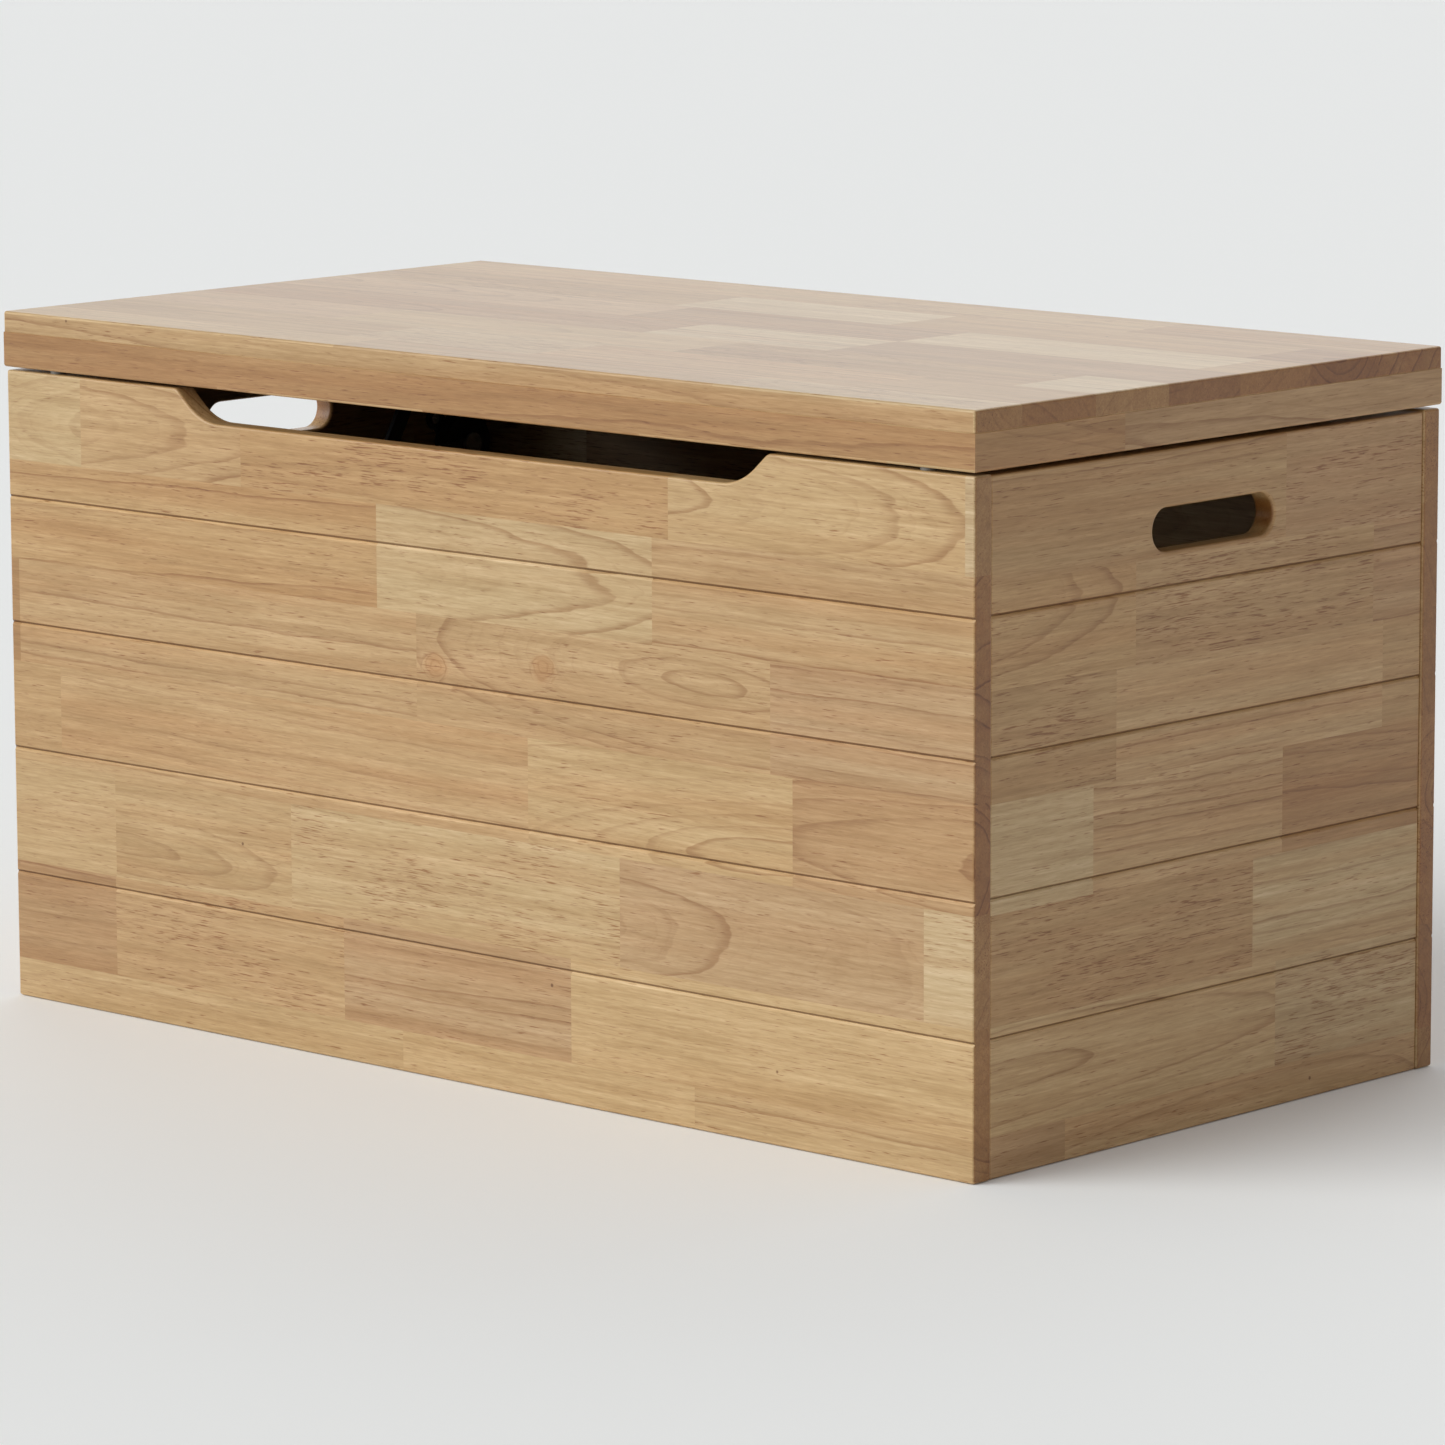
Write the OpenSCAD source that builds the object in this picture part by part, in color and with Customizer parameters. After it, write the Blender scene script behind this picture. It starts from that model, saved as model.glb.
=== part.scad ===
// Wooden toy box: a grooved board carcass with a hinged lid on two friction stays.
// Millimetres, +Z up. The origin is on the floor under the middle of the body, with the front towards -Y.

/* [Body] */
// Width over the ends of the front and back panels
body_w = 800; // [700:1:1100]
// Depth over the faces of the front and back panels
body_d = 425; // [360:1:600]
// Height of one band between two grooves
band_h = 80; // [65:1:110]
// Number of bands up the body
band_count = 5; // [4:1:6]
// Thickness of the four wall panels
panel_t = 15; // [14:0.5:20]
// Step from a panel end back to the side panel's outer face
side_inset = 1; // [0.5:0.1:2]
// Step from the front panel's top edge down to a side panel's top edge
side_drop = 1; // [0.5:0.1:2]
// Width of a groove at the face
groove_w = 3; // [2:0.5:5]
// Depth of a groove
groove_depth = 1.5; // [1:0.5:2]

/* [Lifting notch] */
// Width of the notch along the front panel's top edge
notch_w = 490; // [250:1:560]
// Depth of the notch below the top edge
notch_drop = 19.5; // [12:0.5:30]
// Slope of the notch's ends, in degrees
notch_slope = 42; // [35:1:60]
// Radius where a sloping end meets the notch's floor
notch_floor_r = 40; // [10:1:45]
// Radius where a sloping end meets the top edge
notch_lip_r = 6; // [2:0.5:8]

/* [Hand slots] */
// Length of a hand slot, over its round ends
slot_l = 110; // [80:1:150]
// Height of a hand slot
slot_h = 25; // [20:1:35]
// Drop from the body's top edge to the slot's centre line
slot_drop = 47; // [35:1:70]

/* [Lid] */
// Thickness of the lid board
lid_board_t = 13; // [10:0.5:18]
// Height of the strips under the lid's edges
lid_strip_h = 22; // [20:1:35]
// Width of the strips under the lid's edges
lid_strip_w = 40; // [40:1:60]
// Gap between the front panel's top edge and the closed lid
lid_gap = 2; // [1.6:0.1:3]
// Overhang of the lid past the front panel and past the ends
lid_overhang = 1; // [0:0.5:10]

/* [Base] */
// Thickness of the base board
base_t = 9; // [6:0.5:15]
// Side of a square base batten
batten_w = 18; // [15:1:25]
// Height of the battens off the floor
batten_lift = 12; // [2:1:30]
// Gap around the base board and at the batten ends
base_gap = 0.5; // [0.2:0.1:1]

/* [Corner joints] */
// Diameter of a corner dowel
dowel_d = 8; // [6:1:8]
// Depth of a dowel in the side panel's end
dowel_in_side = 21; // [15:1:30]
// Depth of a dowel or bolt in the front or back panel
joint_in_face = 9; // [7:0.5:9]
// Diameter of a cam lock
cam_d = 15; // [12:0.5:16]
// Depth of a cam lock
cam_depth = 12; // [11:0.5:12]
// Distance from the side panel's end to a cam lock's centre
cam_set = 24; // [20:1:34]

/* [Hinges] */
// Distance from the middle of the box to each hinge
hinge_x = 280; // [150:1:300]
// Length of a hinge
hinge_l = 60; // [50:1:80]
// Width of a hinge leaf on the wood
hinge_leaf_w = 13; // [11:0.5:13]
// Diameter of a hinge knuckle
knuckle_d = 6; // [5:0.5:8]
// Diameter of a hinge pin
hinge_pin_d = 3; // [2:0.5:3]

/* [Lid stays] */
// Distance from the hinge axis forward to the stay housing's spindle
stay_forward = 46; // [44:1:60]
// Drop from the hinge axis to the stay housing's spindle
stay_drop = 81; // [75:1:100]
// Distance from the hinge axis forward to the lid bracket's pin
stay_reach = 90; // [70:1:100]
// Drop from the hinge axis to the lid bracket's pin
stay_pin_drop = 14; // [12:1:18]
// Diameter of the round ends of the stay arm and of the link
stay_end_d = 14; // [13:1:16]
// Width of the stay arm and of the link between their round ends
stay_bar_w = 11; // [8:1:12]
// Thickness of the stay arm and of the link
stay_bar_t = 3; // [2:0.5:3]
// Diameter of the round stay housing
housing_d = 40; // [36:1:42]
// Diameter of the spindle in the stay housing
spindle_d = 10; // [8:1:12]
// Diameter of the two rivets that the link turns on
rivet_d = 6; // [4:1:8]

/* [Hidden] */
$fn = 64;

// Overshoot of a cut past the face that it starts from
cut = 1;
// Gap around a screw, dowel or cam in its hole
seat = 0.1;
// Radial clearance of a turning fit
running = 0.05;

// Body
body_h = band_h * band_count;
half_w = body_w / 2;
half_d = body_d / 2;
side_x = half_w - side_inset - panel_t;    // a side panel's inner face
inner_y = half_d - panel_t;                // the front and back panels' inner faces
side_h = body_h - side_drop;
dowel_z = [for (i = [0:2:band_count - 1]) (i + 0.5) * band_h];
cam_z = [for (i = [1:2:band_count - 1]) (i + 0.5) * band_h];
bumper_d = 10;
bumper_end = 40;                           // from the body's end to a bumper
bumper_x = half_w - bumper_end;

// Notch: where the sloping end's line meets the floor, and the two fillets' tangent lengths
notch_corner_x = notch_w / 2 - notch_drop / tan(notch_slope);
floor_tangent = notch_floor_r * tan(notch_slope / 2);
lip_tangent = notch_lip_r * tan(notch_slope / 2);

// Base
base_z = batten_lift + batten_w;
wood_screw_d = 3.5;
wood_screw_head_d = 7;
screw_bite = 9;                            // depth of a wood screw in the second piece
screw_end = 80;                            // from an inner corner to the nearest batten screw
batten_screw_x = side_x - screw_end;
batten_screw_y = inner_y - screw_end;
batten_screw_z = batten_lift + batten_w / 2;

// Cam bolt
cam_bolt_d = 6;
cam_bolt_neck_d = 4.4;
cam_bolt_head_d = 6.4;
cam_bolt_collar = 2;
cam_bolt_tip = 0.5;                        // from the cam's centre to the bolt's end
cam_bolt_head_l = 3;
cam_bolt_hole_d = 8;

// Lid
lid_z = body_h + lid_gap;
lid_top_z = lid_z + lid_strip_h + lid_board_t;
lid_x = half_w + lid_overhang;
lid_front_y = -half_d - lid_overhang;
lid_back_y = half_d;

// Hinges: the pin's axis lies behind the back panel, at mid height of the gap
leaf_t = (lid_gap - 0.2) / 2;
knuckle_gap = 0.5;                         // from a knuckle to the wood
knuckle_end = 0.2;                         // end gap of each knuckle
knuckle_count = 5;
hinge_y = half_d + knuckle_gap + knuckle_d / 2;
hinge_z = body_h + lid_gap / 2;
hinge_screw_y = half_d - hinge_leaf_w / 2;
hinge_screw_step = 20;
hinge_screw_d = 3;
hinge_screw_head_d = 5.4;
hinge_screw_l = 16;

// Stays: an exact parallelogram of hinge axis, spindle, knee and lid pin, as [y, z] points
axis_point = [hinge_y, hinge_z];
spindle_point = axis_point + [-stay_forward, -stay_drop];
pin_point = axis_point + [-stay_reach, -stay_pin_drop];
knee_point = spindle_point + pin_point - axis_point;
// Layers, counted inward from the side panel's inner face
housing_wall = 2;
housing_l = 12;
cover_l = housing_l - housing_wall;
layer_gap = 0.5;
arm_l = housing_l + layer_gap;
link_l = arm_l + stay_bar_t + layer_gap;
bracket_l = link_l + stay_bar_t + layer_gap;
bracket_t = 2;
flange_l = 4;                              // the flange's outer edge
rivet_head_t = 1.5;
rivet_head_d = rivet_d + 6;
rivet_slack = 0.1;                         // end play under a rivet head
bracket_w = 36;
bracket_end_r = 9;
bracket_screw_y = 12;
bracket_screw_l = 11;                      // the screw line, as a layer
bracket_screw_len = 16;
disc_t = 2;
disc_d = housing_d - 2 * housing_wall - 1;
spindle_head_d = spindle_d + 5;
ear_reach = 7 + housing_d / 2;             // from the spindle to a housing screw
ear_angle = 140;                           // from straight back, so the screws stay forward of the cam locks
ear_r = 7;
ear_w = 12;
ear_points = [for (s = [-1, 1]) spindle_point + ear_reach * [cos(ear_angle), s * sin(ear_angle)]];
housing_screw_len = 12;

// A flat head screw that points down, with its head's top at the origin
module screw(d, head_d, len) {
    head_h = (head_d - d) / 2;
    difference() {
        union() {
            translate([0, 0, -len]) cylinder(d = d, h = len);
            translate([0, 0, -head_h]) cylinder(d1 = d, d2 = head_d, h = head_h);
        }
        for (a = [0, 90]) rotate([0, 0, a]) cube([0.6 * head_d, 0.14 * head_d, 0.9 * head_h], center = true);
    }
}

// The hole that a screw seats in
module screw_hole(d, head_d, len) {
    head_h = (head_d - d) / 2;
    translate([0, 0, -len - seat]) cylinder(d = d + 2 * seat, h = len + seat + cut);
    translate([0, 0, -head_h]) cylinder(d1 = d + 2 * seat, d2 = head_d + 2 * seat, h = head_h);
    cylinder(d = head_d + 2 * seat, h = cut);
}

module wood_screw(second_piece_from) {
    screw(wood_screw_d, wood_screw_head_d, second_piece_from + screw_bite);
}

module wood_screw_hole(second_piece_from) {
    screw_hole(wood_screw_d, wood_screw_head_d, second_piece_from + screw_bite);
}

// A bar of a width between two points, with a round end of radius r on each
module bar(a, b, r, w) {
    along = b - a;
    translate(a) rotate(atan2(along.y, along.x)) translate([0, -w / 2]) square([norm(along), w]);
    for (p = [a, b]) translate(p) circle(r);
}

// A plate cut to a [y, z] outline between two stay layers on the right side
module layer(from, to) {
    translate([side_x - to, 0, 0]) rotate([90, 0, 90]) linear_extrude(to - from) children();
}

module left() {
    mirror([1, 0, 0]) children();
}

module each_corner() {
    for (mx = [0, 1], my = [0, 1]) mirror([mx, 0, 0]) mirror([0, my, 0]) children();
}

module each_side() {
    for (mx = [0, 1]) mirror([mx, 0, 0]) children();
}

// ---- Body panels ----

module notch_outline() {
    for (m = [0, 1]) mirror([m, 0]) {
        translate([notch_corner_x - floor_tangent, notch_floor_r - notch_drop]) circle(notch_floor_r);
        difference() {
            polygon([
                [notch_w / 2 + lip_tangent, 0],
                [notch_w / 2 + lip_tangent, cut],
                [notch_w / 2 - cut, cut],
                [notch_w / 2 - lip_tangent * cos(notch_slope), -lip_tangent * sin(notch_slope)],
                [notch_w / 2 + lip_tangent, -notch_lip_r]]);
            translate([notch_w / 2 + lip_tangent, -notch_lip_r]) circle(notch_lip_r);
        }
    }
    // the floor and slopes, with the fillets' sectors left to the two circles
    slope_top = [notch_w / 2 + notch_floor_r / tan(notch_slope), notch_floor_r];
    slope_end = [notch_corner_x + floor_tangent * cos(notch_slope),
        floor_tangent * sin(notch_slope) - notch_drop];
    fillet_centre = [notch_corner_x - floor_tangent, notch_floor_r - notch_drop];
    floor_end = [notch_corner_x - floor_tangent, -notch_drop];
    right_half = [slope_top, slope_end, fillet_centre, floor_end];
    polygon(concat(right_half, [for (i = [3:-1:0]) [-right_half[i].x, right_half[i].y]]));
}

// V grooves between the bands, along X in the plane y = 0, cut towards +Y
module grooves(length) {
    flare = groove_w / 2 * (1 + cut / groove_depth);
    for (i = [1:band_count - 1])
        translate([-length / 2, 0, i * band_h]) rotate([90, 0, 90]) linear_extrude(length)
            polygon([[-cut, -flare], [groove_depth, 0], [-cut, flare]]);
}

// Blind holes for the dowels and cam bolts, in a face panel at the back
module face_panel_holes() {
    each_corner() {
        for (z = dowel_z) translate([side_x + panel_t / 2, inner_y, z]) rotate([-90, 0, 0])
            translate([0, 0, -cut]) cylinder(d = dowel_d + 2 * seat, h = cut + joint_in_face + seat);
        for (z = cam_z) translate([side_x + panel_t / 2, inner_y, z]) rotate([-90, 0, 0])
            translate([0, 0, -cut]) cylinder(d = cam_bolt_d + 2 * seat, h = cut + joint_in_face + seat);
    }
    at_face_batten_screws() wood_screw_hole(batten_w);
}

module front_panel() {
    color("burlywood") difference() {
        translate([0, -inner_y, 0]) rotate([90, 0, 0]) linear_extrude(panel_t) difference() {
            translate([-half_w, 0]) square([body_w, body_h]);
            translate([0, body_h]) notch_outline();
        }
        translate([0, -half_d, 0]) grooves(body_w + 2 * cut);
        face_panel_holes();
    }
}

module back_panel() {
    color("burlywood") difference() {
        translate([-half_w, inner_y, 0]) cube([body_w, panel_t, body_h]);
        translate([0, half_d, 0]) mirror([0, 1, 0]) grooves(body_w + 2 * cut);
        face_panel_holes();
        at_hinge_screws() translate([0, 0, body_h + leaf_t])
            screw_hole(hinge_screw_d, hinge_screw_head_d, hinge_screw_l);
    }
}

module slot_outline() {
    half_run = (slot_l - slot_h) / 2;
    bar([-half_run, body_h - slot_drop], [half_run, body_h - slot_drop], slot_h / 2, slot_h);
}

module side_panel() {
    difference() {
        translate([side_x, 0, 0]) rotate([90, 0, 90]) linear_extrude(panel_t) difference() {
            translate([-inner_y, 0]) square([2 * inner_y, side_h]);
            slot_outline();
        }
        translate([side_x + panel_t, 0, 0]) rotate([0, 0, 90]) grooves(body_d);
        each_corner() {
            for (z = dowel_z) translate([side_x + panel_t / 2, inner_y + cut, z]) rotate([90, 0, 0])
                cylinder(d = dowel_d + 2 * seat, h = cut + dowel_in_side + seat);
            for (z = cam_z) translate([side_x, inner_y - cam_set, z]) {
                translate([-cut, 0, 0]) rotate([0, 90, 0])
                    cylinder(d = cam_d + 2 * seat, h = cut + cam_depth + seat);
                translate([panel_t / 2, 0, 0]) rotate([-90, 0, 0])
                    cylinder(d = cam_bolt_hole_d, h = cam_set + cut);
            }
        }
        at_side_batten_screws() wood_screw_hole(batten_w);
        at_housing_screws() wood_screw_hole_in_panel();
    }
}

module left_side_panel() {
    color("tan") left() side_panel();
}

module right_side_panel() {
    color("tan") side_panel();
}

// ---- Base ----

// Screws through the front and back battens: heads on the battens' inner faces
module at_face_batten_screws() {
    for (my = [0, 1], i = [-1:1]) mirror([0, my, 0])
        translate([i * batten_screw_x, inner_y - batten_w, batten_screw_z]) rotate([90, 0, 0]) children();
}

module at_side_batten_screws() {
    each_side() for (s = [-1, 1])
        translate([side_x - batten_w, s * batten_screw_y, batten_screw_z]) rotate([0, -90, 0]) children();
}

// Screws down through the base board into all four battens
module at_base_screws() {
    for (my = [0, 1], s = [-1, 1]) mirror([0, my, 0])
        translate([s * batten_screw_x / 2, inner_y - batten_w / 2, base_z + base_t]) children();
    each_side() translate([side_x - batten_w / 2, 0, base_z + base_t]) children();
}

module base_board() {
    color("wheat") difference() {
        translate([base_gap - side_x, base_gap - inner_y, base_z])
            cube([2 * (side_x - base_gap), 2 * (inner_y - base_gap), base_t]);
        at_base_screws() wood_screw_hole(base_t);
    }
}

module face_batten() {
    difference() {
        translate([base_gap - side_x, inner_y - batten_w, batten_lift])
            cube([2 * (side_x - base_gap), batten_w, batten_w]);
        at_face_batten_screws() wood_screw_hole(batten_w);
        at_base_screws() wood_screw_hole(base_t);
    }
}

module side_batten() {
    half_l = inner_y - batten_w - base_gap;
    difference() {
        translate([side_x - batten_w, -half_l, batten_lift]) cube([batten_w, 2 * half_l, batten_w]);
        at_side_batten_screws() wood_screw_hole(batten_w);
        at_base_screws() wood_screw_hole(base_t);
    }
}

module front_batten() {
    color("wheat") mirror([0, 1, 0]) face_batten();
}

module back_batten() {
    color("wheat") face_batten();
}

module left_batten() {
    color("wheat") left() side_batten();
}

module right_batten() {
    color("wheat") side_batten();
}

module batten_screws() {
    color("silver") {
        at_face_batten_screws() wood_screw(batten_w);
        at_side_batten_screws() wood_screw(batten_w);
    }
}

module base_board_screws() {
    color("silver") at_base_screws() wood_screw(base_t);
}

// ---- Corner joints ----

module corner_dowels() {
    color("peru") each_corner() for (z = dowel_z)
        translate([side_x + panel_t / 2, inner_y + joint_in_face, z]) rotate([90, 0, 0])
            cylinder(d = dowel_d, h = joint_in_face + dowel_in_side);
}

module cam_bolts() {
    color("silver") each_corner() for (z = cam_z)
        translate([side_x + panel_t / 2, inner_y - cam_set, z]) rotate([-90, 0, 0]) {
            translate([0, 0, cam_bolt_tip]) cylinder(d = cam_bolt_head_d, h = cam_bolt_head_l);
            translate([0, 0, cam_bolt_tip]) cylinder(d = cam_bolt_neck_d, h = cam_set - cam_bolt_tip);
            translate([0, 0, cam_set - cam_bolt_collar]) cylinder(d = cam_bolt_hole_d - 1, h = cam_bolt_collar);
            translate([0, 0, cam_set]) cylinder(d = cam_bolt_d, h = joint_in_face);
        }
}

module cam_locks() {
    color("silver") each_corner() for (z = cam_z) translate([side_x, inner_y - cam_set, z]) difference() {
        rotate([0, 90, 0]) cylinder(d = cam_d, h = cam_depth);
        translate([panel_t / 2, 0, 0]) rotate([-90, 0, 0]) cylinder(d = cam_bolt_head_d + 0.6, h = cam_d);
        for (a = [0, 90]) rotate([a, 0, 0]) cube([3, 0.6 * cam_d, 1.4], center = true);
    }
}

// ---- Lid ----

module lid_bumpers() {
    color("gainsboro") each_side()
        translate([bumper_x, -half_d + panel_t / 2, body_h]) cylinder(d = bumper_d, h = lid_gap);
}

module lid_board() {
    color("moccasin") translate([-lid_x, lid_front_y, lid_z + lid_strip_h])
        cube([2 * lid_x, lid_back_y - lid_front_y, lid_board_t]);
}

// One mitred strip from outer corner a to outer corner b, with the lid on its left
module lid_strip(a, b) {
    along = (b - a) / norm(b - a);
    inward = [-along.y, along.x];
    translate([0, 0, lid_z]) linear_extrude(lid_strip_h) polygon([a, b,
        b + lid_strip_w * (inward - along), a + lid_strip_w * (inward + along)]);
}

module front_lid_strip() {
    color("burlywood") lid_strip([-lid_x, lid_front_y], [lid_x, lid_front_y]);
}

module back_lid_strip() {
    color("burlywood") difference() {
        lid_strip([lid_x, lid_back_y], [-lid_x, lid_back_y]);
        at_hinge_screws() translate([0, 0, lid_z - leaf_t]) mirror([0, 0, 1])
            screw_hole(hinge_screw_d, hinge_screw_head_d, hinge_screw_l);
    }
}

module side_lid_strip() {
    difference() {
        lid_strip([lid_x, lid_front_y], [lid_x, lid_back_y]);
        at_bracket_screws() screw_hole(wood_screw_d, wood_screw_head_d, bracket_screw_len);
    }
}

module left_lid_strip() {
    color("tan") left() side_lid_strip();
}

module right_lid_strip() {
    color("tan") side_lid_strip();
}

// ---- Hinges ----

module at_hinge_screws() {
    for (s = [-1, 1], i = [-1:1])
        translate([s * hinge_x + i * hinge_screw_step, hinge_screw_y, 0]) children();
}

// A leaf with every second knuckle, counted from the first given
module hinge_leaf(plate_z, first) {
    pitch = hinge_l / knuckle_count;
    difference() {
        union() {
            translate([-hinge_l / 2, half_d - hinge_leaf_w, plate_z]) cube([hinge_l, hinge_leaf_w, leaf_t]);
            for (i = [first:2:knuckle_count - 1]) translate([i * pitch - hinge_l / 2 + knuckle_end / 2, 0, 0]) {
                translate([0, half_d - cut, plate_z])
                    cube([pitch - knuckle_end, hinge_y - half_d + cut, leaf_t]);
                translate([0, hinge_y, hinge_z]) rotate([0, 90, 0])
                    cylinder(d = knuckle_d, h = pitch - knuckle_end);
            }
        }
        translate([-hinge_l, hinge_y, hinge_z]) rotate([0, 90, 0])
            cylinder(d = hinge_pin_d + 2 * running, h = 2 * hinge_l);
        for (i = [-1:1]) translate([i * hinge_screw_step, hinge_screw_y, 0]) children();
    }
}

module hinge_body_leaf() {
    hinge_leaf(body_h, 0) translate([0, 0, body_h + leaf_t])
        screw_hole(hinge_screw_d, hinge_screw_head_d, hinge_screw_l);
}

module hinge_lid_leaf() {
    hinge_leaf(lid_z - leaf_t, 1) translate([0, 0, lid_z - leaf_t]) mirror([0, 0, 1])
        screw_hole(hinge_screw_d, hinge_screw_head_d, hinge_screw_l);
}

module hinge_pin() {
    translate([-hinge_l / 2, hinge_y, hinge_z]) rotate([0, 90, 0]) {
        cylinder(d = hinge_pin_d, h = hinge_l);
        for (z = [-1, hinge_l]) translate([0, 0, z]) cylinder(d = knuckle_d - 1, h = 1);
    }
}

module left_hinge_body_leaf() {
    color("silver") translate([-hinge_x, 0, 0]) hinge_body_leaf();
}

module left_hinge_lid_leaf() {
    color("silver") translate([-hinge_x, 0, 0]) hinge_lid_leaf();
}

module left_hinge_pin() {
    color("gray") translate([-hinge_x, 0, 0]) hinge_pin();
}

module right_hinge_body_leaf() {
    color("silver") translate([hinge_x, 0, 0]) hinge_body_leaf();
}

module right_hinge_lid_leaf() {
    color("silver") translate([hinge_x, 0, 0]) hinge_lid_leaf();
}

module right_hinge_pin() {
    color("gray") translate([hinge_x, 0, 0]) hinge_pin();
}

module hinge_body_screws() {
    color("silver") at_hinge_screws() translate([0, 0, body_h + leaf_t])
        screw(hinge_screw_d, hinge_screw_head_d, hinge_screw_l);
}

module hinge_lid_screws() {
    color("silver") at_hinge_screws() translate([0, 0, lid_z - leaf_t]) mirror([0, 0, 1])
        screw(hinge_screw_d, hinge_screw_head_d, hinge_screw_l);
}

// ---- Lid stays, drawn for the right side ----

module ring(outer_d, inner_d) {
    difference() {
        circle(d = outer_d);
        circle(d = inner_d);
    }
}

module at_housing_screws() {
    each_side() for (p = ear_points)
        translate([side_x - housing_wall, p.x, p.y]) rotate([0, -90, 0]) children();
}

module wood_screw_hole_in_panel() {
    screw_hole(wood_screw_d, wood_screw_head_d, housing_screw_len);
}

module at_bracket_screws() {
    each_side() for (s = [-1, 1])
        translate([side_x - bracket_screw_l, pin_point.x + s * bracket_screw_y, lid_z - bracket_t])
            mirror([0, 0, 1]) children();
}

module stay_housing() {
    difference() {
        union() {
            layer(0, housing_wall) {
                for (p = ear_points) bar(spindle_point, p, ear_r, ear_w);
                translate(spindle_point) circle(d = housing_d);
            }
            layer(0, cover_l) translate(spindle_point) ring(housing_d, housing_d - 2 * housing_wall);
        }
        at_housing_screws() wood_screw_hole_in_panel();
    }
}

module stay_cover() {
    layer(cover_l, housing_l) translate(spindle_point) ring(housing_d, spindle_d + 2 * running);
}

module stay_friction_discs() {
    for (i = [0, 1]) layer(housing_wall + layer_gap + i * (disc_t + layer_gap),
        housing_wall + (i + 1) * (disc_t + layer_gap))
        translate(spindle_point) ring(disc_d, spindle_d + 2 * running);
}

// A dished washer that presses the discs together
module stay_spring_washer() {
    inner_r = spindle_d / 2 + layer_gap;
    outer_r = disc_d / 2 - 2;
    rise = 0.9;
    thick = 0.8;
    translate([side_x - cover_l + 0.1, spindle_point.x, spindle_point.y]) rotate([0, 90, 0])
        rotate_extrude() polygon([[inner_r, 0], [outer_r, rise], [outer_r, rise + thick], [inner_r, thick]]);
}

module stay_spindle() {
    head_l = arm_l + stay_bar_t;
    layer(housing_wall + layer_gap / 2, head_l) translate(spindle_point) circle(d = spindle_d);
    layer(head_l, head_l + rivet_head_t) translate(spindle_point) circle(d = spindle_head_d);
}

module stay_arm() {
    layer(arm_l, arm_l + stay_bar_t) difference() {
        bar(spindle_point, knee_point, stay_end_d / 2, stay_bar_w);
        translate(spindle_point) circle(d = spindle_d + 2 * running);
        translate(knee_point) circle(d = rivet_d + 2 * running);
    }
}

// A shank between two heads, across the given layers
module rivet(point, from, to) {
    layer(from, to) translate(point) circle(d = rivet_d);
    layer(from - rivet_head_t, from) translate(point) circle(d = rivet_head_d);
    layer(to, to + rivet_head_t) translate(point) circle(d = rivet_head_d);
}

module stay_knee_rivet() {
    rivet(knee_point, arm_l, link_l + stay_bar_t + rivet_slack);
}

module stay_link() {
    layer(link_l, link_l + stay_bar_t) difference() {
        bar(knee_point, pin_point, stay_end_d / 2, stay_bar_w);
        for (p = [knee_point, pin_point]) translate(p) circle(d = rivet_d + 2 * running);
    }
}

module stay_lid_bracket() {
    difference() {
        union() {
            layer(bracket_l, bracket_l + bracket_t) {
                bar(pin_point, [pin_point.x, lid_z - stay_end_d], bracket_end_r, 2 * bracket_end_r);
                translate([pin_point.x - bracket_w / 2, lid_z - 8]) square([bracket_w, 8]);
            }
            translate([side_x - bracket_l - bracket_t, pin_point.x - bracket_w / 2, lid_z - bracket_t])
                cube([bracket_l + bracket_t - flange_l, bracket_w, bracket_t]);
        }
        layer(bracket_l - cut, bracket_l + bracket_t + cut) translate(pin_point)
            circle(d = rivet_d + 2 * running);
        at_bracket_screws() screw_hole(wood_screw_d, wood_screw_head_d, bracket_screw_len);
    }
}

module stay_bracket_pin() {
    rivet(pin_point, link_l - rivet_slack, bracket_l + bracket_t);
}

module left_stay_housing() {
    color("dimgray") left() stay_housing();
}

module left_stay_cover() {
    color("gray") left() stay_cover();
}

module left_stay_friction_discs() {
    color("sienna") left() stay_friction_discs();
}

module left_stay_spring_washer() {
    color("silver") left() stay_spring_washer();
}

module left_stay_spindle() {
    color("silver") left() stay_spindle();
}

module left_stay_arm() {
    color("lightsteelblue") left() stay_arm();
}

module left_stay_knee_rivet() {
    color("silver") left() stay_knee_rivet();
}

module left_stay_link() {
    color("lightsteelblue") left() stay_link();
}

module left_stay_lid_bracket() {
    color("slategray") left() stay_lid_bracket();
}

module left_stay_bracket_pin() {
    color("silver") left() stay_bracket_pin();
}

module right_stay_housing() {
    color("dimgray") stay_housing();
}

module right_stay_cover() {
    color("gray") stay_cover();
}

module right_stay_friction_discs() {
    color("sienna") stay_friction_discs();
}

module right_stay_spring_washer() {
    color("silver") stay_spring_washer();
}

module right_stay_spindle() {
    color("silver") stay_spindle();
}

module right_stay_arm() {
    color("lightsteelblue") stay_arm();
}

module right_stay_knee_rivet() {
    color("silver") stay_knee_rivet();
}

module right_stay_link() {
    color("lightsteelblue") stay_link();
}

module right_stay_lid_bracket() {
    color("slategray") stay_lid_bracket();
}

module right_stay_bracket_pin() {
    color("silver") stay_bracket_pin();
}

module stay_housing_screws() {
    color("silver") at_housing_screws() screw(wood_screw_d, wood_screw_head_d, housing_screw_len);
}

module stay_bracket_screws() {
    color("silver") at_bracket_screws() screw(wood_screw_d, wood_screw_head_d, bracket_screw_len);
}

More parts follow.
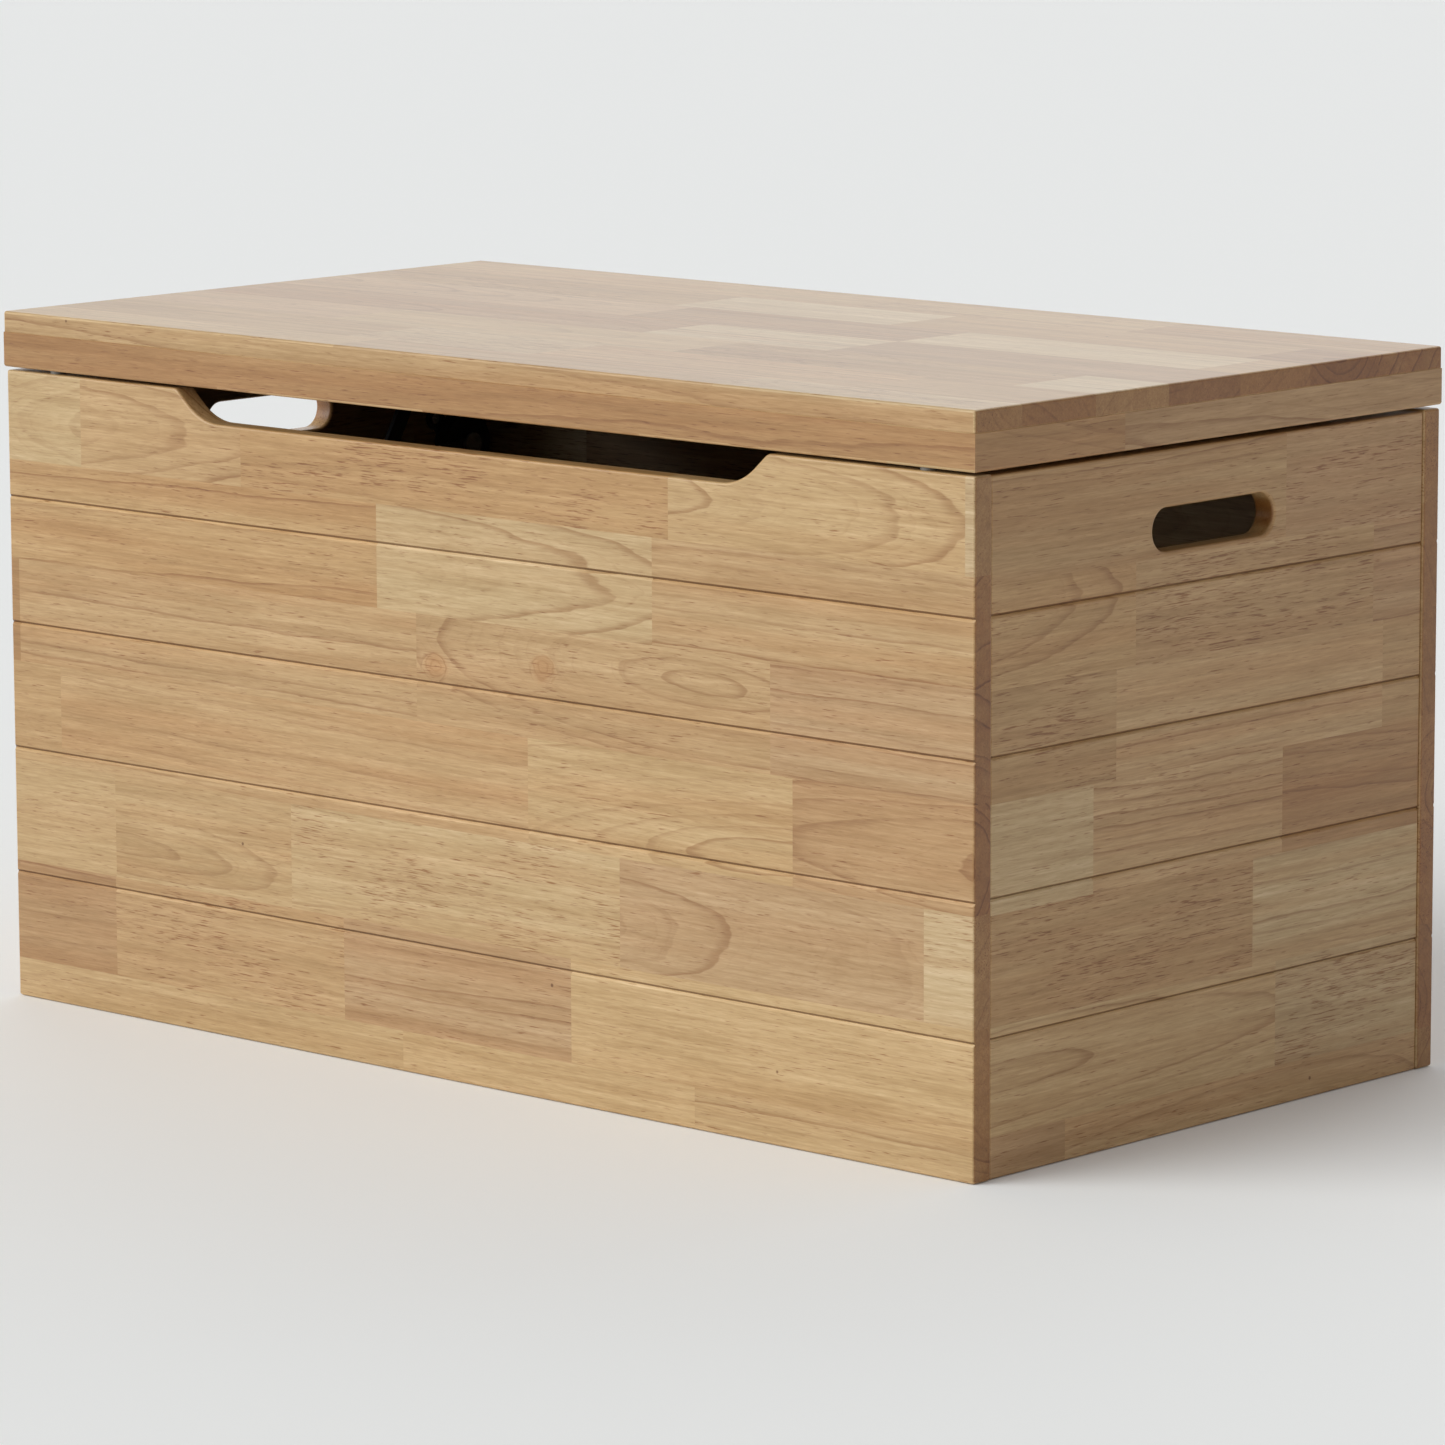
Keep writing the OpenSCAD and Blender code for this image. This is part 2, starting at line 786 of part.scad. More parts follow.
front_panel();
back_panel();
left_side_panel();
right_side_panel();
base_board();
front_batten();
back_batten();
left_batten();
right_batten();
batten_screws();
base_board_screws();
corner_dowels();
cam_bolts();
cam_locks();
lid_bumpers();
lid_board();
front_lid_strip();
back_lid_strip();
left_lid_strip();
right_lid_strip();
left_hinge_body_leaf();
left_hinge_lid_leaf();
left_hinge_pin();
right_hinge_body_leaf();
right_hinge_lid_leaf();
right_hinge_pin();
hinge_body_screws();
hinge_lid_screws();
left_stay_housing();
left_stay_cover();
left_stay_friction_discs();
left_stay_spring_washer();
left_stay_spindle();
left_stay_arm();
left_stay_knee_rivet();
left_stay_link();
left_stay_lid_bracket();
left_stay_bracket_pin();
right_stay_housing();
right_stay_cover();
right_stay_friction_discs();
right_stay_spring_washer();
right_stay_spindle();
right_stay_arm();
right_stay_knee_rivet();
right_stay_link();
right_stay_lid_bracket();
right_stay_bracket_pin();
stay_housing_screws();
stay_bracket_screws();
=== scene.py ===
"""Wooden toy box: boards of glued staves, a lid on strips, hinges and stays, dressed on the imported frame."""

import logging
import math
import random
from dataclasses import dataclass
from enum import Enum
from typing import Any, Callable, Optional, Sequence, Union

import bmesh
import bpy
from mathutils import Matrix, Vector


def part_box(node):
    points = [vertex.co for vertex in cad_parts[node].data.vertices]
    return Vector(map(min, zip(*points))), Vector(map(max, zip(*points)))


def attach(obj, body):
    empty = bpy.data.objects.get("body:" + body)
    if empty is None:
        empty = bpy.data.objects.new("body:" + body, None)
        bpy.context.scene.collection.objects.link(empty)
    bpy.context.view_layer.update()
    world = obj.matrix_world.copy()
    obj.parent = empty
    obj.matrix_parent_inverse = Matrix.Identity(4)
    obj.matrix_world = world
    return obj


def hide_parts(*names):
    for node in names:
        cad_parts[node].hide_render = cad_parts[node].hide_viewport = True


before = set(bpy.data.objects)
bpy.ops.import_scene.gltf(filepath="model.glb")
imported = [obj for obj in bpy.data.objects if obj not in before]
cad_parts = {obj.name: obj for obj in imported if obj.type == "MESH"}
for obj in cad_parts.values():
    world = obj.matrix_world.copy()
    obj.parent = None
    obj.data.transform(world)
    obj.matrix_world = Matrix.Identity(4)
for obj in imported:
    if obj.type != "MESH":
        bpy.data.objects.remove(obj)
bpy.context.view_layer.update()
LOG = logging.getLogger("toy_box")
MM = 0.001
TOUCH = 1e-6  # metres within which two places count as one
CLEAR = 1e-5  # metres that tell a face or vertex beyond a plane from one on it
X, Y, Z = Vector((1, 0, 0)), Vector((0, 1, 0)), Vector((0, 0, 1))
AXES = (X, Y, Z)
STAVE_MARKS = ("stave_pith", "stave_lean", "stave_nature", "stave_tone_and_painted_light")

Socket = bpy.types.NodeSocket
Value = Union[Socket, float]
Colour = tuple[float, float, float]
Test = Callable[[Any], bool]


# ---- Timber ----


class Grain(Enum):
    """The row axis that a board's fibres run along."""

    ALONG_X = 0
    ALONG_Y = 1


class Tone(Enum):
    """Colours of the sawn staves, as linear red, green and blue."""

    PALE = (0.520, 0.375, 0.205)
    CREAM = (0.505, 0.351, 0.176)
    STRAW = (0.489, 0.322, 0.150)
    TAN = (0.478, 0.303, 0.139)
    HONEY = (0.465, 0.283, 0.119)
    ROSE = (0.468, 0.299, 0.148)
    OLIVE = (0.438, 0.268, 0.114)
    RUSSET = (0.414, 0.246, 0.109)
    SIENNA = (0.370, 0.200, 0.074)


class Tint(Enum):
    """What a stave's tone is multiplied by in the darker or lighter places of the wood, and on faces that get
    painted shade or highlights.
    """

    BAND = (0.90, 0.79, 0.68)
    FINE_RING = (0.70, 0.56, 0.42)
    RING = (0.60, 0.45, 0.30)
    KNOT = (0.90, 0.76, 0.62)
    KNOT_RING = (0.74, 0.60, 0.44)
    CROWDED_PORES = (0.84, 0.74, 0.66)
    PORE = (0.56, 0.38, 0.22)
    SPECK = (0.34, 0.22, 0.13)
    END_GRAIN = (0.64, 0.46, 0.28)
    FLAT = (1.0, 1.0, 1.0)
    # painted highlight along the rounded arrises
    RUBBED_ARRIS = (1.07, 1.06, 1.04)
    # painted light in the V grooves: a highlight on each lower flank and shade under each upper flank
    GROOVE_LOWER_FLANK = (1.36, 1.42, 1.55)
    GROOVE_UPPER_FLANK = (0.40, 0.31, 0.22)


class Pattern(Enum):
    """The wood's noises: length and width of a feature in metres, octaves, strength of the finer octaves."""

    WANDER = (0.30, 0.06, 2, 0.5)
    WAVER = (0.030, 0.008, 2, 0.5)
    RING_SHOW = (0.06, 0.025, 2, 0.5)
    BAND = (0.45, 0.016, 2, 0.5)
    STREAK = (0.15, 0.0050, 2, 0.5)
    PATCH = (0.09, 0.03, 3, 0.5)
    FIBRE = (0.055, 0.0016, 3, 0.7)
    HAIRS = (0.012, 0.0009, 2, 0.6)
    PORES = (0.013, 0.00085, 2, 0.55)


@dataclass(frozen=True)
class Sawing:
    """How a stave was cut from the log.

    depth and offset are the pith's distances from the stave's middle in mm, through and across it. lean is
    the log's slope along the stave. rings, flecks and bands are strengths from 0 to 1.
    """

    depth: float
    offset: float
    lean: float
    rings: float
    flecks: float
    bands: float


class Figure(Enum):
    """The figures that the staves show, by how they were sawn."""

    PLAIN = Sawing(95, 60, 0.02, 0.35, 0.35, 0.4)
    STRAIGHT = Sawing(70, 150, 0.03, 1.0, 0.4, 1.0)
    CATHEDRAL = Sawing(30, 5, 0.13, 1.0, 0.3, 0.5)
    FLECKED = Sawing(110, 90, 0.03, 0.4, 1.0, 0.6)
    SWIRLED = Sawing(24, 18, 0.16, 0.8, 0.5, 0.8)


@dataclass(frozen=True)
class Stave:
    """One sawn stave in a row: where it ends along the row in mm, its tone and its figure."""

    end: float
    tone: Tone
    figure: Figure


@dataclass(frozen=True)
class Row:
    """One row of staves glued end to end: where it starts across the board in mm, and its staves in order."""

    start: float
    staves: tuple[Stave, ...]


def rows(*lines: tuple[float, str]) -> tuple[Row, ...]:
    """Reads a cutting list.

    Args:
        lines: Each row's start in mm and its staves, where a stave is its end in mm, its tone and its
            figure. The last stave of a row reaches past the board.

    Returns:
        The rows, in the order given.
    """
    laid = []
    for start, words in lines:
        cuts = (stave.split() for stave in words.split(", "))
        staves = (Stave(float(end), Tone[tone], Figure[figure]) for end, tone, figure in cuts)
        laid.append(Row(start, tuple(staves)))
    return tuple(laid)


def mill_rows(starts: Sequence[float], length: float, seed: int) -> tuple[Row, ...]:
    """Lays rows of staves of chance lengths, for the faces that have no list of their own.

    Args:
        starts: Where each row starts across the board, in mm.
        length: Length of the board along the staves, in mm.
        seed: Seed of the chance lengths, tones and figures.

    Returns:
        The rows, which reach the whole length.
    """
    chance = random.Random(seed)
    overrun = 60
    laid = []
    for start in starts:
        end = chance.uniform(60, 300)
        staves = []
        while end < length + overrun:
            staves.append(Stave(end, chance.choice(list(Tone)), chance.choice(list(Figure))))
            end += chance.uniform(160, 380)
        staves.append(Stave(length + 500, chance.choice(list(Tone)), chance.choice(list(Figure))))
        laid.append(Row(start, tuple(staves)))
    return tuple(laid)


# ---- Node sheets ----


class NodeSheet:
    """A material's node tree, with short ways to add and join nodes."""

    def __init__(self, name: str) -> None:
        """Starts a material that holds one Principled shader.

        Args:
            name: The material's name.
        """
        self.material = bpy.data.materials.new(name)
        self.material.use_nodes = True
        self.nodes = self.material.node_tree.nodes
        self.links = self.material.node_tree.links
        self.shader = self.nodes["Principled BSDF"]

    def feed(self, socket: Socket, value: object) -> None:
        """Links a socket to another, or sets it to a constant.

        Args:
            socket: The input to feed.
            value: An output socket, a number, or a sequence of numbers.
        """
        if isinstance(value, bpy.types.NodeSocket):
            self.links.new(value, socket)
        elif isinstance(value, (int, float)):
            socket.default_value = value
        else:
            given = tuple(value)
            wanted = len(socket.default_value)
            socket.default_value = given + (1.0,) * (wanted - len(given))

    def node(self, kind: str, **settings: object) -> bpy.types.Node:
        """Adds a node.

        Args:
            kind: The node's type, without its ShaderNode prefix.
            settings: Properties to set on it.

        Returns:
            The node.
        """
        made = self.nodes.new("ShaderNode" + kind)
        for name, value in settings.items():
            setattr(made, name, value)
        return made

    def math(self, operation: str, *values: Value, clamp: bool = False) -> Socket:
        """Adds a Math node.

        Args:
            operation: The node's operation.
            values: Its inputs, in order.
            clamp: Whether the result is kept from 0 to 1.

        Returns:
            Its output.
        """
        made = self.node("Math", operation=operation, use_clamp=clamp)
        for socket, value in zip(made.inputs, values):
            self.feed(socket, value)
        return made.outputs[0]

    def times(self, first: Value, *others: Value) -> Socket:
        """Returns the product of some values."""
        for other in others:
            first = self.math("MULTIPLY", first, other)
        return first

    def line(self, value: Value, slope: Value, start: Value) -> Socket:
        """Returns value times slope plus start."""
        return self.math("MULTIPLY_ADD", value, slope, start)

    def minus(self, first: Value, second: Value, clamp: bool = False) -> Socket:
        """Returns first less second, kept from 0 to 1 if clamp is set."""
        return self.math("SUBTRACT", first, second, clamp=clamp)

    def split(self, vector: Socket) -> tuple[Socket, Socket, Socket]:
        """Returns a vector's three components."""
        made = self.node("SeparateXYZ")
        self.feed(made.inputs[0], vector)
        return tuple(made.outputs)

    def join(self, x: Value, y: Value, z: Value) -> Socket:
        """Returns a vector of three components."""
        made = self.node("CombineXYZ")
        for socket, value in zip(made.inputs, (x, y, z)):
            self.feed(socket, value)
        return made.outputs[0]

    def noise(self, vector: Socket, detail: float = 2.0, seed: Value = 0.0, rough: float = 0.5) -> Socket:
        """Adds a noise of unit scale over a vector that is already stretched.

        Args:
            vector: Where to read the noise.
            detail: Octaves.
            seed: The fourth coordinate.
            rough: Strength of the finer octaves.

        Returns:
            The noise, around 0.5.
        """
        made = self.node("TexNoise", noise_dimensions="4D")
        settings = {"Vector": vector, "W": seed, "Scale": 1.0, "Detail": detail, "Roughness": rough}
        for name, value in settings.items():
            self.feed(made.inputs[name], value)
        return made.outputs["Fac"]

    def fine_noise(self, place: Socket, scales: tuple[float, float, float], detail: float = 2.0) -> Socket:
        """Returns a noise over a place in metres, given its features a metre along each axis."""
        scaled = (self.times(part, scale) for part, scale in zip(self.split(place), scales))
        return self.noise(self.join(*scaled), detail)

    def step(self, value: Value, low: float, high: float) -> Socket:
        """Adds a smooth step.

        Args:
            value: The value to judge.
            low: Where the step begins.
            high: Where it ends.

        Returns:
            0 below low, 1 above high, and a smooth rise between.
        """
        made = self.node("MapRange", interpolation_type="SMOOTHSTEP")
        for name, given in (("Value", value), ("From Min", low), ("From Max", high)):
            self.feed(made.inputs[name], given)
        return made.outputs["Result"]

    def blend(self, amount: Value, first: object, second: object, mode: str = "MIX") -> Socket:
        """Mixes two colours.

        Args:
            amount: Share of the second.
            first: First colour.
            second: Second colour.
            mode: The Mix node's blend type.

        Returns:
            The mixed colour.
        """
        made = self.node("Mix", data_type="RGBA", blend_type=mode, clamp_factor=True)
        self.feed(made.inputs["Factor"], amount)
        colours = [socket for socket in made.inputs if socket.type == "RGBA"]
        self.feed(colours[0], first)
        self.feed(colours[1], second)
        return next(socket for socket in made.outputs if socket.type == "RGBA")

    def bump(self, height: Socket, strength: float, distance: float) -> None:
        """Raises the shader's surface by a height from 0 to 1.

        Args:
            height: The height.
            strength: Share of the effect.
            distance: Height of 1, in metres.
        """
        made = self.node("Bump")
        for name, value in (("Height", height), ("Strength", strength), ("Distance", distance)):
            self.feed(made.inputs[name], value)
        self.links.new(made.outputs[0], self.shader.inputs["Normal"])

    def set(self, **values: object) -> None:
        """Feeds the shader's sockets; an underscore in a name stands for a space."""
        for name, value in values.items():
            self.feed(self.shader.inputs[name.replace("_", " ")], value)


# ---- Finishes ----


class WoodSheet(NodeSheet):
    """A wood's sheet, which knows the place along and across the fibres."""

    def __init__(self, name: str, grain: Grain) -> None:
        """Starts the sheet.

        Args:
            name: The material's name.
            grain: The axis that the fibres run along.
        """
        super().__init__(name)
        coordinates = self.node("TexCoord")
        self.place: Socket = coordinates.outputs["Object"]
        x, y, self.up = self.split(self.place)
        self.along, self.side = (x, y) if grain is Grain.ALONG_X else (y, x)
        facing = self.split(coordinates.outputs["Normal"])[grain.value]
        self.end_grain: Socket = self.step(self.math("ABSOLUTE", facing), 0.6, 0.95)

    def pattern(self, kind: Pattern, seed: Value) -> Socket:
        """Adds one of the wood's noises.

        Args:
            kind: Which one.
            seed: The stave's seed.

        Returns:
            The noise, around 0.5.
        """
        length, width, detail, rough = kind.value
        sizes = ((self.along, length), (self.side, width), (self.up, width))
        scaled = (self.math("DIVIDE", part, size) for part, size in sizes)
        return self.noise(self.join(*scaled), detail, seed, rough)

    def darken(self, colour: Value, amount: Value, tint: Tint) -> Socket:
        """Multiplies a colour by a tint, by the amount given."""
        return self.blend(amount, colour, tint.value, "MULTIPLY")


@dataclass(frozen=True)
class WoodFinish:
    """Satin varnish over light hardwood, whose rings lie round a pith in three dimensions.

    A board cut into staves carries each stave's pith, lean, tone and nature on its faces. A plain board gives
    one stave's values instead. Places and sizes are in metres.
    """

    name: str
    grain: Grain
    plain: Optional[Stave] = None
    knots: tuple[tuple[float, float, float], ...] = ()
    knot_size: tuple[float, float, float] = (0.0130, 0.060, 0.0105)
    ring_gap: float = 0.0065
    fine_rings: float = 3.7
    wander: float = 0.020
    waver: float = 0.0030
    knot_pull: float = 0.014
    speck_scale: float = 16.0
    relief: float = 0.0002
    varnish: float = 0.25

    def stave_values(self, sheet: NodeSheet) -> tuple[Socket, ...]:
        """Reads the stave's values from the faces, or from the one plain stave.

        Args:
            sheet: The material's sheet.

        Returns:
            The pith, lean, nature and tone, each a vector; a face's tone holds its painted shade or highlight.
        """
        if self.plain is None:
            readers = (sheet.node("Attribute", attribute_name=name) for name in STAVE_MARKS)
            return tuple(reader.outputs["Vector"] for reader in readers)
        sawing: Sawing = self.plain.figure.value
        plain_seed = 7.0
        return (
            sheet.join(0.0, sawing.offset * MM, sawing.depth * MM),
            sheet.join(sawing.lean, sawing.lean / 3, plain_seed),
            sheet.join(sawing.rings, sawing.flecks, sawing.bands),
            sheet.join(*self.plain.tone.value),
        )

    def pith_distance(self, sheet: WoodSheet, pith: Socket, lean_side: Socket, lean_up: Socket) -> Socket:
        """Measures how far a place is from the log's pith, which leans as it runs along the stave.

        Args:
            sheet: The material's sheet.
            pith: A point on the pith, as along, side and up.
            lean_side: The pith's slope sideways.
            lean_up: The pith's slope upwards.

        Returns:
            The distance.
        """
        pith_along, pith_side, pith_up = sheet.split(pith)
        run = sheet.minus(sheet.along, pith_along)
        off_side = sheet.minus(sheet.minus(sheet.side, pith_side), sheet.times(run, lean_side))
        off_up = sheet.minus(sheet.minus(sheet.up, pith_up), sheet.times(run, lean_up))
        squares = sheet.math("ADD", sheet.times(off_side, off_side), sheet.times(off_up, off_up))
        return sheet.math("SQRT", squares)

    def ring_lines(self, sheet: NodeSheet, radius: Socket, gap: float, seed: Socket) -> Socket:
        """Draws the dark line that closes each ring, some rings darker than others.

        Args:
            sheet: The material's sheet.
            radius: Distance from the pith.
            gap: Distance between rings.
            seed: Seed of the rings' strengths.

        Returns:
            The mark, from 0 to 1.
        """
        ring = sheet.math("DIVIDE", radius, gap)
        chance = sheet.node("TexWhiteNoise", noise_dimensions="2D")
        sheet.feed(chance.inputs["Vector"], sheet.join(sheet.math("FLOOR", ring), seed, 0.0))
        share = sheet.math("FRACT", ring)
        rise = sheet.line(sheet.step(share, 0.68, 0.92), 0.75, sheet.times(share, 0.25))
        closed = sheet.times(rise, sheet.minus(1.0, sheet.step(share, 0.95, 1.0)))
        return sheet.times(closed, sheet.math("POWER", chance.outputs["Value"], 1.8))

    def knot_swell(self, sheet: WoodSheet) -> Value:
        """Finds the small knots, which run through the board from face to face.

        Args:
            sheet: The material's sheet.

        Returns:
            A value that rises from 0 at a knot's rim to 1 at its heart.
        """
        swell: Value = 0.0
        for knot in self.knots:
            scaled = sheet.node("VectorMath", operation="DIVIDE")
            sheet.feed(scaled.inputs[0], sheet.place)
            sheet.feed(scaled.inputs[1], self.knot_size)
            away = sheet.node("VectorMath", operation="DISTANCE")
            sheet.feed(away.inputs[0], scaled.outputs["Vector"])
            sheet.feed(away.inputs[1], tuple(at / size for at, size in zip(knot, self.knot_size)))
            near = sheet.minus(1.0, away.outputs["Value"], clamp=True)
            swell = sheet.math("MAXIMUM", swell, near)
        return swell

    def tint_knots(self, sheet: WoodSheet, colour: Socket, swell: Value, waver: Socket) -> Socket:
        """Darkens the knots and draws the fine rings in them.

        Args:
            sheet: The material's sheet.
            colour: The wood's colour.
            swell: How near a knot's heart the place is, from 0 to 1.
            waver: A small unevenness around 0.

        Returns:
            The colour with the knots in it.
        """
        inside = sheet.step(swell, 0.0, 0.2)
        uneven = sheet.line(waver, 0.9, swell)
        colour = sheet.darken(colour, sheet.times(sheet.step(uneven, 0.0, 0.62), 0.8, inside), Tint.KNOT)
        ring = sheet.step(sheet.math("SINE", sheet.times(uneven, 21.0)), 0.1, 1.0)
        return sheet.darken(colour, sheet.times(ring, inside, 0.4), Tint.KNOT_RING)

    def specks(self, sheet: WoodSheet) -> Socket:
        """Scatters a few dark specks.

        Args:
            sheet: The material's sheet.

        Returns:
            1 in a speck and 0 outside it.
        """
        cells = sheet.node("TexVoronoi", voronoi_dimensions="3D")
        sheet.feed(cells.inputs["Vector"], sheet.place)
        sheet.feed(cells.inputs["Scale"], self.speck_scale)
        return sheet.minus(1.0, sheet.step(cells.outputs["Distance"], 0.012, 0.024))

    def build(self) -> bpy.types.Material:
        """Draws rings, bands, fibres, pores and specks over the staves' tones.

        Returns:
            The material.
        """
        sheet = WoodSheet(self.name, self.grain)
        # tone holds the faces' painted shade and highlights
        pith, lean, nature, tone = self.stave_values(sheet)
        lean_side, lean_up, seed = sheet.split(lean)
        rings, flecks, bands = sheet.split(nature)

        waver = sheet.minus(sheet.pattern(Pattern.WAVER, seed), 0.5)
        swell = self.knot_swell(sheet)
        radius = self.pith_distance(sheet, pith, lean_side, lean_up)
        radius = sheet.line(sheet.minus(sheet.pattern(Pattern.WANDER, seed), 0.5), self.wander, radius)
        radius = sheet.line(waver, self.waver, radius)
        radius = sheet.line(sheet.step(swell, 0.0, 1.0), self.knot_pull, radius)
        ring_show = sheet.times(rings, sheet.step(sheet.pattern(Pattern.RING_SHOW, seed), 0.15, 0.55))
        ring_mark = sheet.times(self.ring_lines(sheet, radius, self.ring_gap, seed), ring_show)
        fine_mark = self.ring_lines(sheet, radius, self.ring_gap / self.fine_rings, seed)

        band = sheet.times(sheet.step(sheet.pattern(Pattern.BAND, seed), 0.38, 0.66), bands)
        patch = sheet.pattern(Pattern.PATCH, seed)
        fibre = sheet.pattern(Pattern.FIBRE, seed)
        crowding = sheet.times(sheet.step(patch, 0.36, 0.62), flecks)
        pore_depth = sheet.minus(sheet.pattern(Pattern.PORES, seed), sheet.line(crowding, -0.11, 0.635))
        pore_mark = sheet.math("MULTIPLY", pore_depth, 9.0, clamp=True)

        colour = sheet.darken(tone, sheet.times(band, 0.75), Tint.BAND)
        colour = sheet.darken(colour, sheet.times(fine_mark, 0.22), Tint.FINE_RING)
        ring_mark = sheet.times(ring_mark, sheet.line(sheet.end_grain, 0.8, 0.85))
        colour = sheet.darken(colour, ring_mark, Tint.RING)
        if self.knots:
            colour = self.tint_knots(sheet, colour, swell, waver)
        light = sheet.times(
            sheet.line(fibre, 0.62, 0.69),
            sheet.line(sheet.pattern(Pattern.HAIRS, seed), 0.44, 0.78),
            sheet.line(patch, 0.30, 0.85),
            sheet.line(sheet.pattern(Pattern.STREAK, seed), 0.50, 0.76),
        )
        warmth = (sheet.math("POWER", light, power) for power in (1.0, 1.3, 1.9))
        colour = sheet.blend(1.0, colour, sheet.join(*warmth), "MULTIPLY")
        colour = sheet.darken(colour, sheet.times(crowding, 0.35), Tint.CROWDED_PORES)
        colour = sheet.darken(colour, sheet.times(pore_mark, 0.95), Tint.PORE)
        colour = sheet.darken(colour, sheet.times(self.specks(sheet), 0.9), Tint.SPECK)
        colour = sheet.darken(colour, sheet.end_grain, Tint.END_GRAIN)
        sheet.bump(sheet.minus(sheet.times(fibre, 0.5), sheet.times(pore_mark, 0.7)), 0.25, self.relief)
        sheet.set(
            Base_Color=colour,
            Roughness=sheet.line(fibre, 0.14, 0.38),
            Coat_Weight=self.varnish,
            Coat_Roughness=0.30,
            Coat_IOR=1.45,
        )
        return sheet.material


@dataclass(frozen=True)
class SteelFinish:
    """Plated steel with fine brushing and faint blotches."""

    name: str
    colour: Colour
    gloss: float

    def build(self) -> bpy.types.Material:
        """Returns the material."""
        sheet = NodeSheet(self.name)
        place = sheet.node("TexCoord").outputs["Object"]
        scratch = sheet.fine_noise(place, (900.0, 900.0, 4000.0))
        blotch = sheet.fine_noise(place, (120.0, 120.0, 120.0), 3)
        dull = tuple(0.72 * channel for channel in self.colour)
        sheet.bump(scratch, 0.15, 0.00005)
        sheet.set(
            Base_Color=sheet.blend(sheet.step(blotch, 0.35, 0.75), self.colour, dull),
            Metallic=1.0,
            Roughness=sheet.line(scratch, 0.2, 0.45 - 0.3 * self.gloss),
        )
        return sheet.material


@dataclass(frozen=True)
class MouldedFinish:
    """Moulded plastic, fibre or rubber with a fine spark-eroded texture."""

    name: str
    colour: Colour
    roughness: float
    texture: float

    def build(self) -> bpy.types.Material:
        """Returns the material."""
        sheet = NodeSheet(self.name)
        place = sheet.node("TexCoord").outputs["Object"]
        pitted = sheet.fine_noise(place, (1500.0, 1500.0, 1500.0))
        cloud = sheet.fine_noise(place, (60.0, 60.0, 60.0))
        worn = tuple(min(1.0, 1.25 * channel + 0.01) for channel in self.colour)
        sheet.bump(pitted, self.texture, 0.0001)
        sheet.set(
            Base_Color=sheet.blend(cloud, self.colour, worn),
            Roughness=sheet.line(pitted, 0.15, self.roughness),
        )
        return sheet.material


# ---- Bench ----


class Workpiece:
    """A piece on the bench: one mesh shaped by edit-mode operators, its elements chosen by their place."""

    def __init__(self, name: str, low: Vector, high: Vector) -> None:
        """Starts the piece as a block between two corners.

        Args:
            name: The object's name.
            low: Lowest corner, in metres.
            high: Highest corner, in metres.
        """
        if bpy.context.mode != "OBJECT":
            bpy.ops.object.mode_set(mode="OBJECT")
        bpy.ops.object.select_all(action="DESELECT")
        bpy.ops.mesh.primitive_cube_add(size=1.0, location=(low + high) / 2, scale=high - low)
        bpy.ops.object.transform_apply(location=True, rotation=True, scale=True)
        self.object: bpy.types.Object = bpy.context.object
        self.object.name = self.object.data.name = name
        bpy.ops.object.mode_set(mode="EDIT")

    def choose(self, kind: str, wanted: Test) -> None:
        """Selects the elements that pass a test, and nothing else.

        Args:
            kind: VERT, EDGE or FACE.
            wanted: The test, given a bmesh element.
        """
        bpy.ops.mesh.select_mode(type=kind)
        bpy.ops.mesh.select_all(action="DESELECT")
        mesh = bmesh.from_edit_mesh(self.object.data)
        for element in {"VERT": mesh.verts, "EDGE": mesh.edges, "FACE": mesh.faces}[kind]:
            element.select_set(bool(wanted(element)))
        bmesh.update_edit_mesh(self.object.data)

    def saw(self, at: Vector, normal: Vector, wanted: Test = lambda face: True) -> None:
        """Cuts the chosen faces along a plane, without parting them."""
        self.choose("FACE", wanted)
        bpy.ops.mesh.bisect(plane_co=at, plane_no=normal)

    def shift(self, wanted: Test, by: Vector) -> None:
        """Moves the chosen vertices."""
        self.choose("VERT", wanted)
        bpy.ops.transform.translate(value=by)

    def flatten(self, wanted: Test, axis: int, level: float) -> None:
        """Brings the chosen vertices to one level along an axis.

        Args:
            wanted: Test for the vertices.
            axis: The axis, 0 to 2.
            level: The level on it.
        """
        self.choose("VERT", wanted)
        scale = [1.0, 1.0, 1.0]
        scale[axis] = 0.0
        centre = [0.0, 0.0, 0.0]
        centre[axis] = level
        bpy.ops.transform.resize(value=scale, center_override=centre)

    def round_edges(self, wanted: Test, radius: float, segments: int = 3) -> None:
        """Rounds the chosen edges that turn sharply, with so many facets."""
        self.choose("EDGE", lambda edge: edge.calc_face_angle(0.0) > math.radians(50) and wanted(edge))
        bpy.ops.mesh.bevel(offset=radius, segments=segments, affect="EDGES")

    def cut_away(self, cutter: "Workpiece") -> None:
        """Takes another piece's volume out of this one, and uses that piece up.

        Args:
            cutter: The piece to subtract.
        """
        bpy.ops.object.mode_set(mode="OBJECT")
        bpy.ops.object.select_all(action="DESELECT")
        bpy.context.view_layer.objects.active = self.object
        self.object.select_set(True)
        cut = self.object.modifiers.new("cut", "BOOLEAN")
        cut.operation, cut.solver, cut.object = "DIFFERENCE", "EXACT", cutter.object
        bpy.ops.object.modifier_apply(modifier=cut.name)
        bpy.data.objects.remove(cutter.object)
        bpy.ops.object.mode_set(mode="EDIT")

    def off_bench(self) -> bpy.types.Object:
        """Leaves edit mode, shades the roundings smooth and keeps the flats flat.

        Returns:
            The finished object.
        """
        bpy.ops.object.mode_set(mode="OBJECT")
        bpy.ops.object.select_all(action="DESELECT")
        bpy.context.view_layer.objects.active = self.object
        self.object.select_set(True)
        bpy.ops.object.shade_smooth_by_angle(angle=math.radians(40))
        flats = self.object.modifiers.new("flats", "WEIGHTED_NORMAL")
        flats.keep_sharp = True
        bpy.ops.object.modifier_apply(modifier=flats.name)
        return self.object


# ---- Boards ----


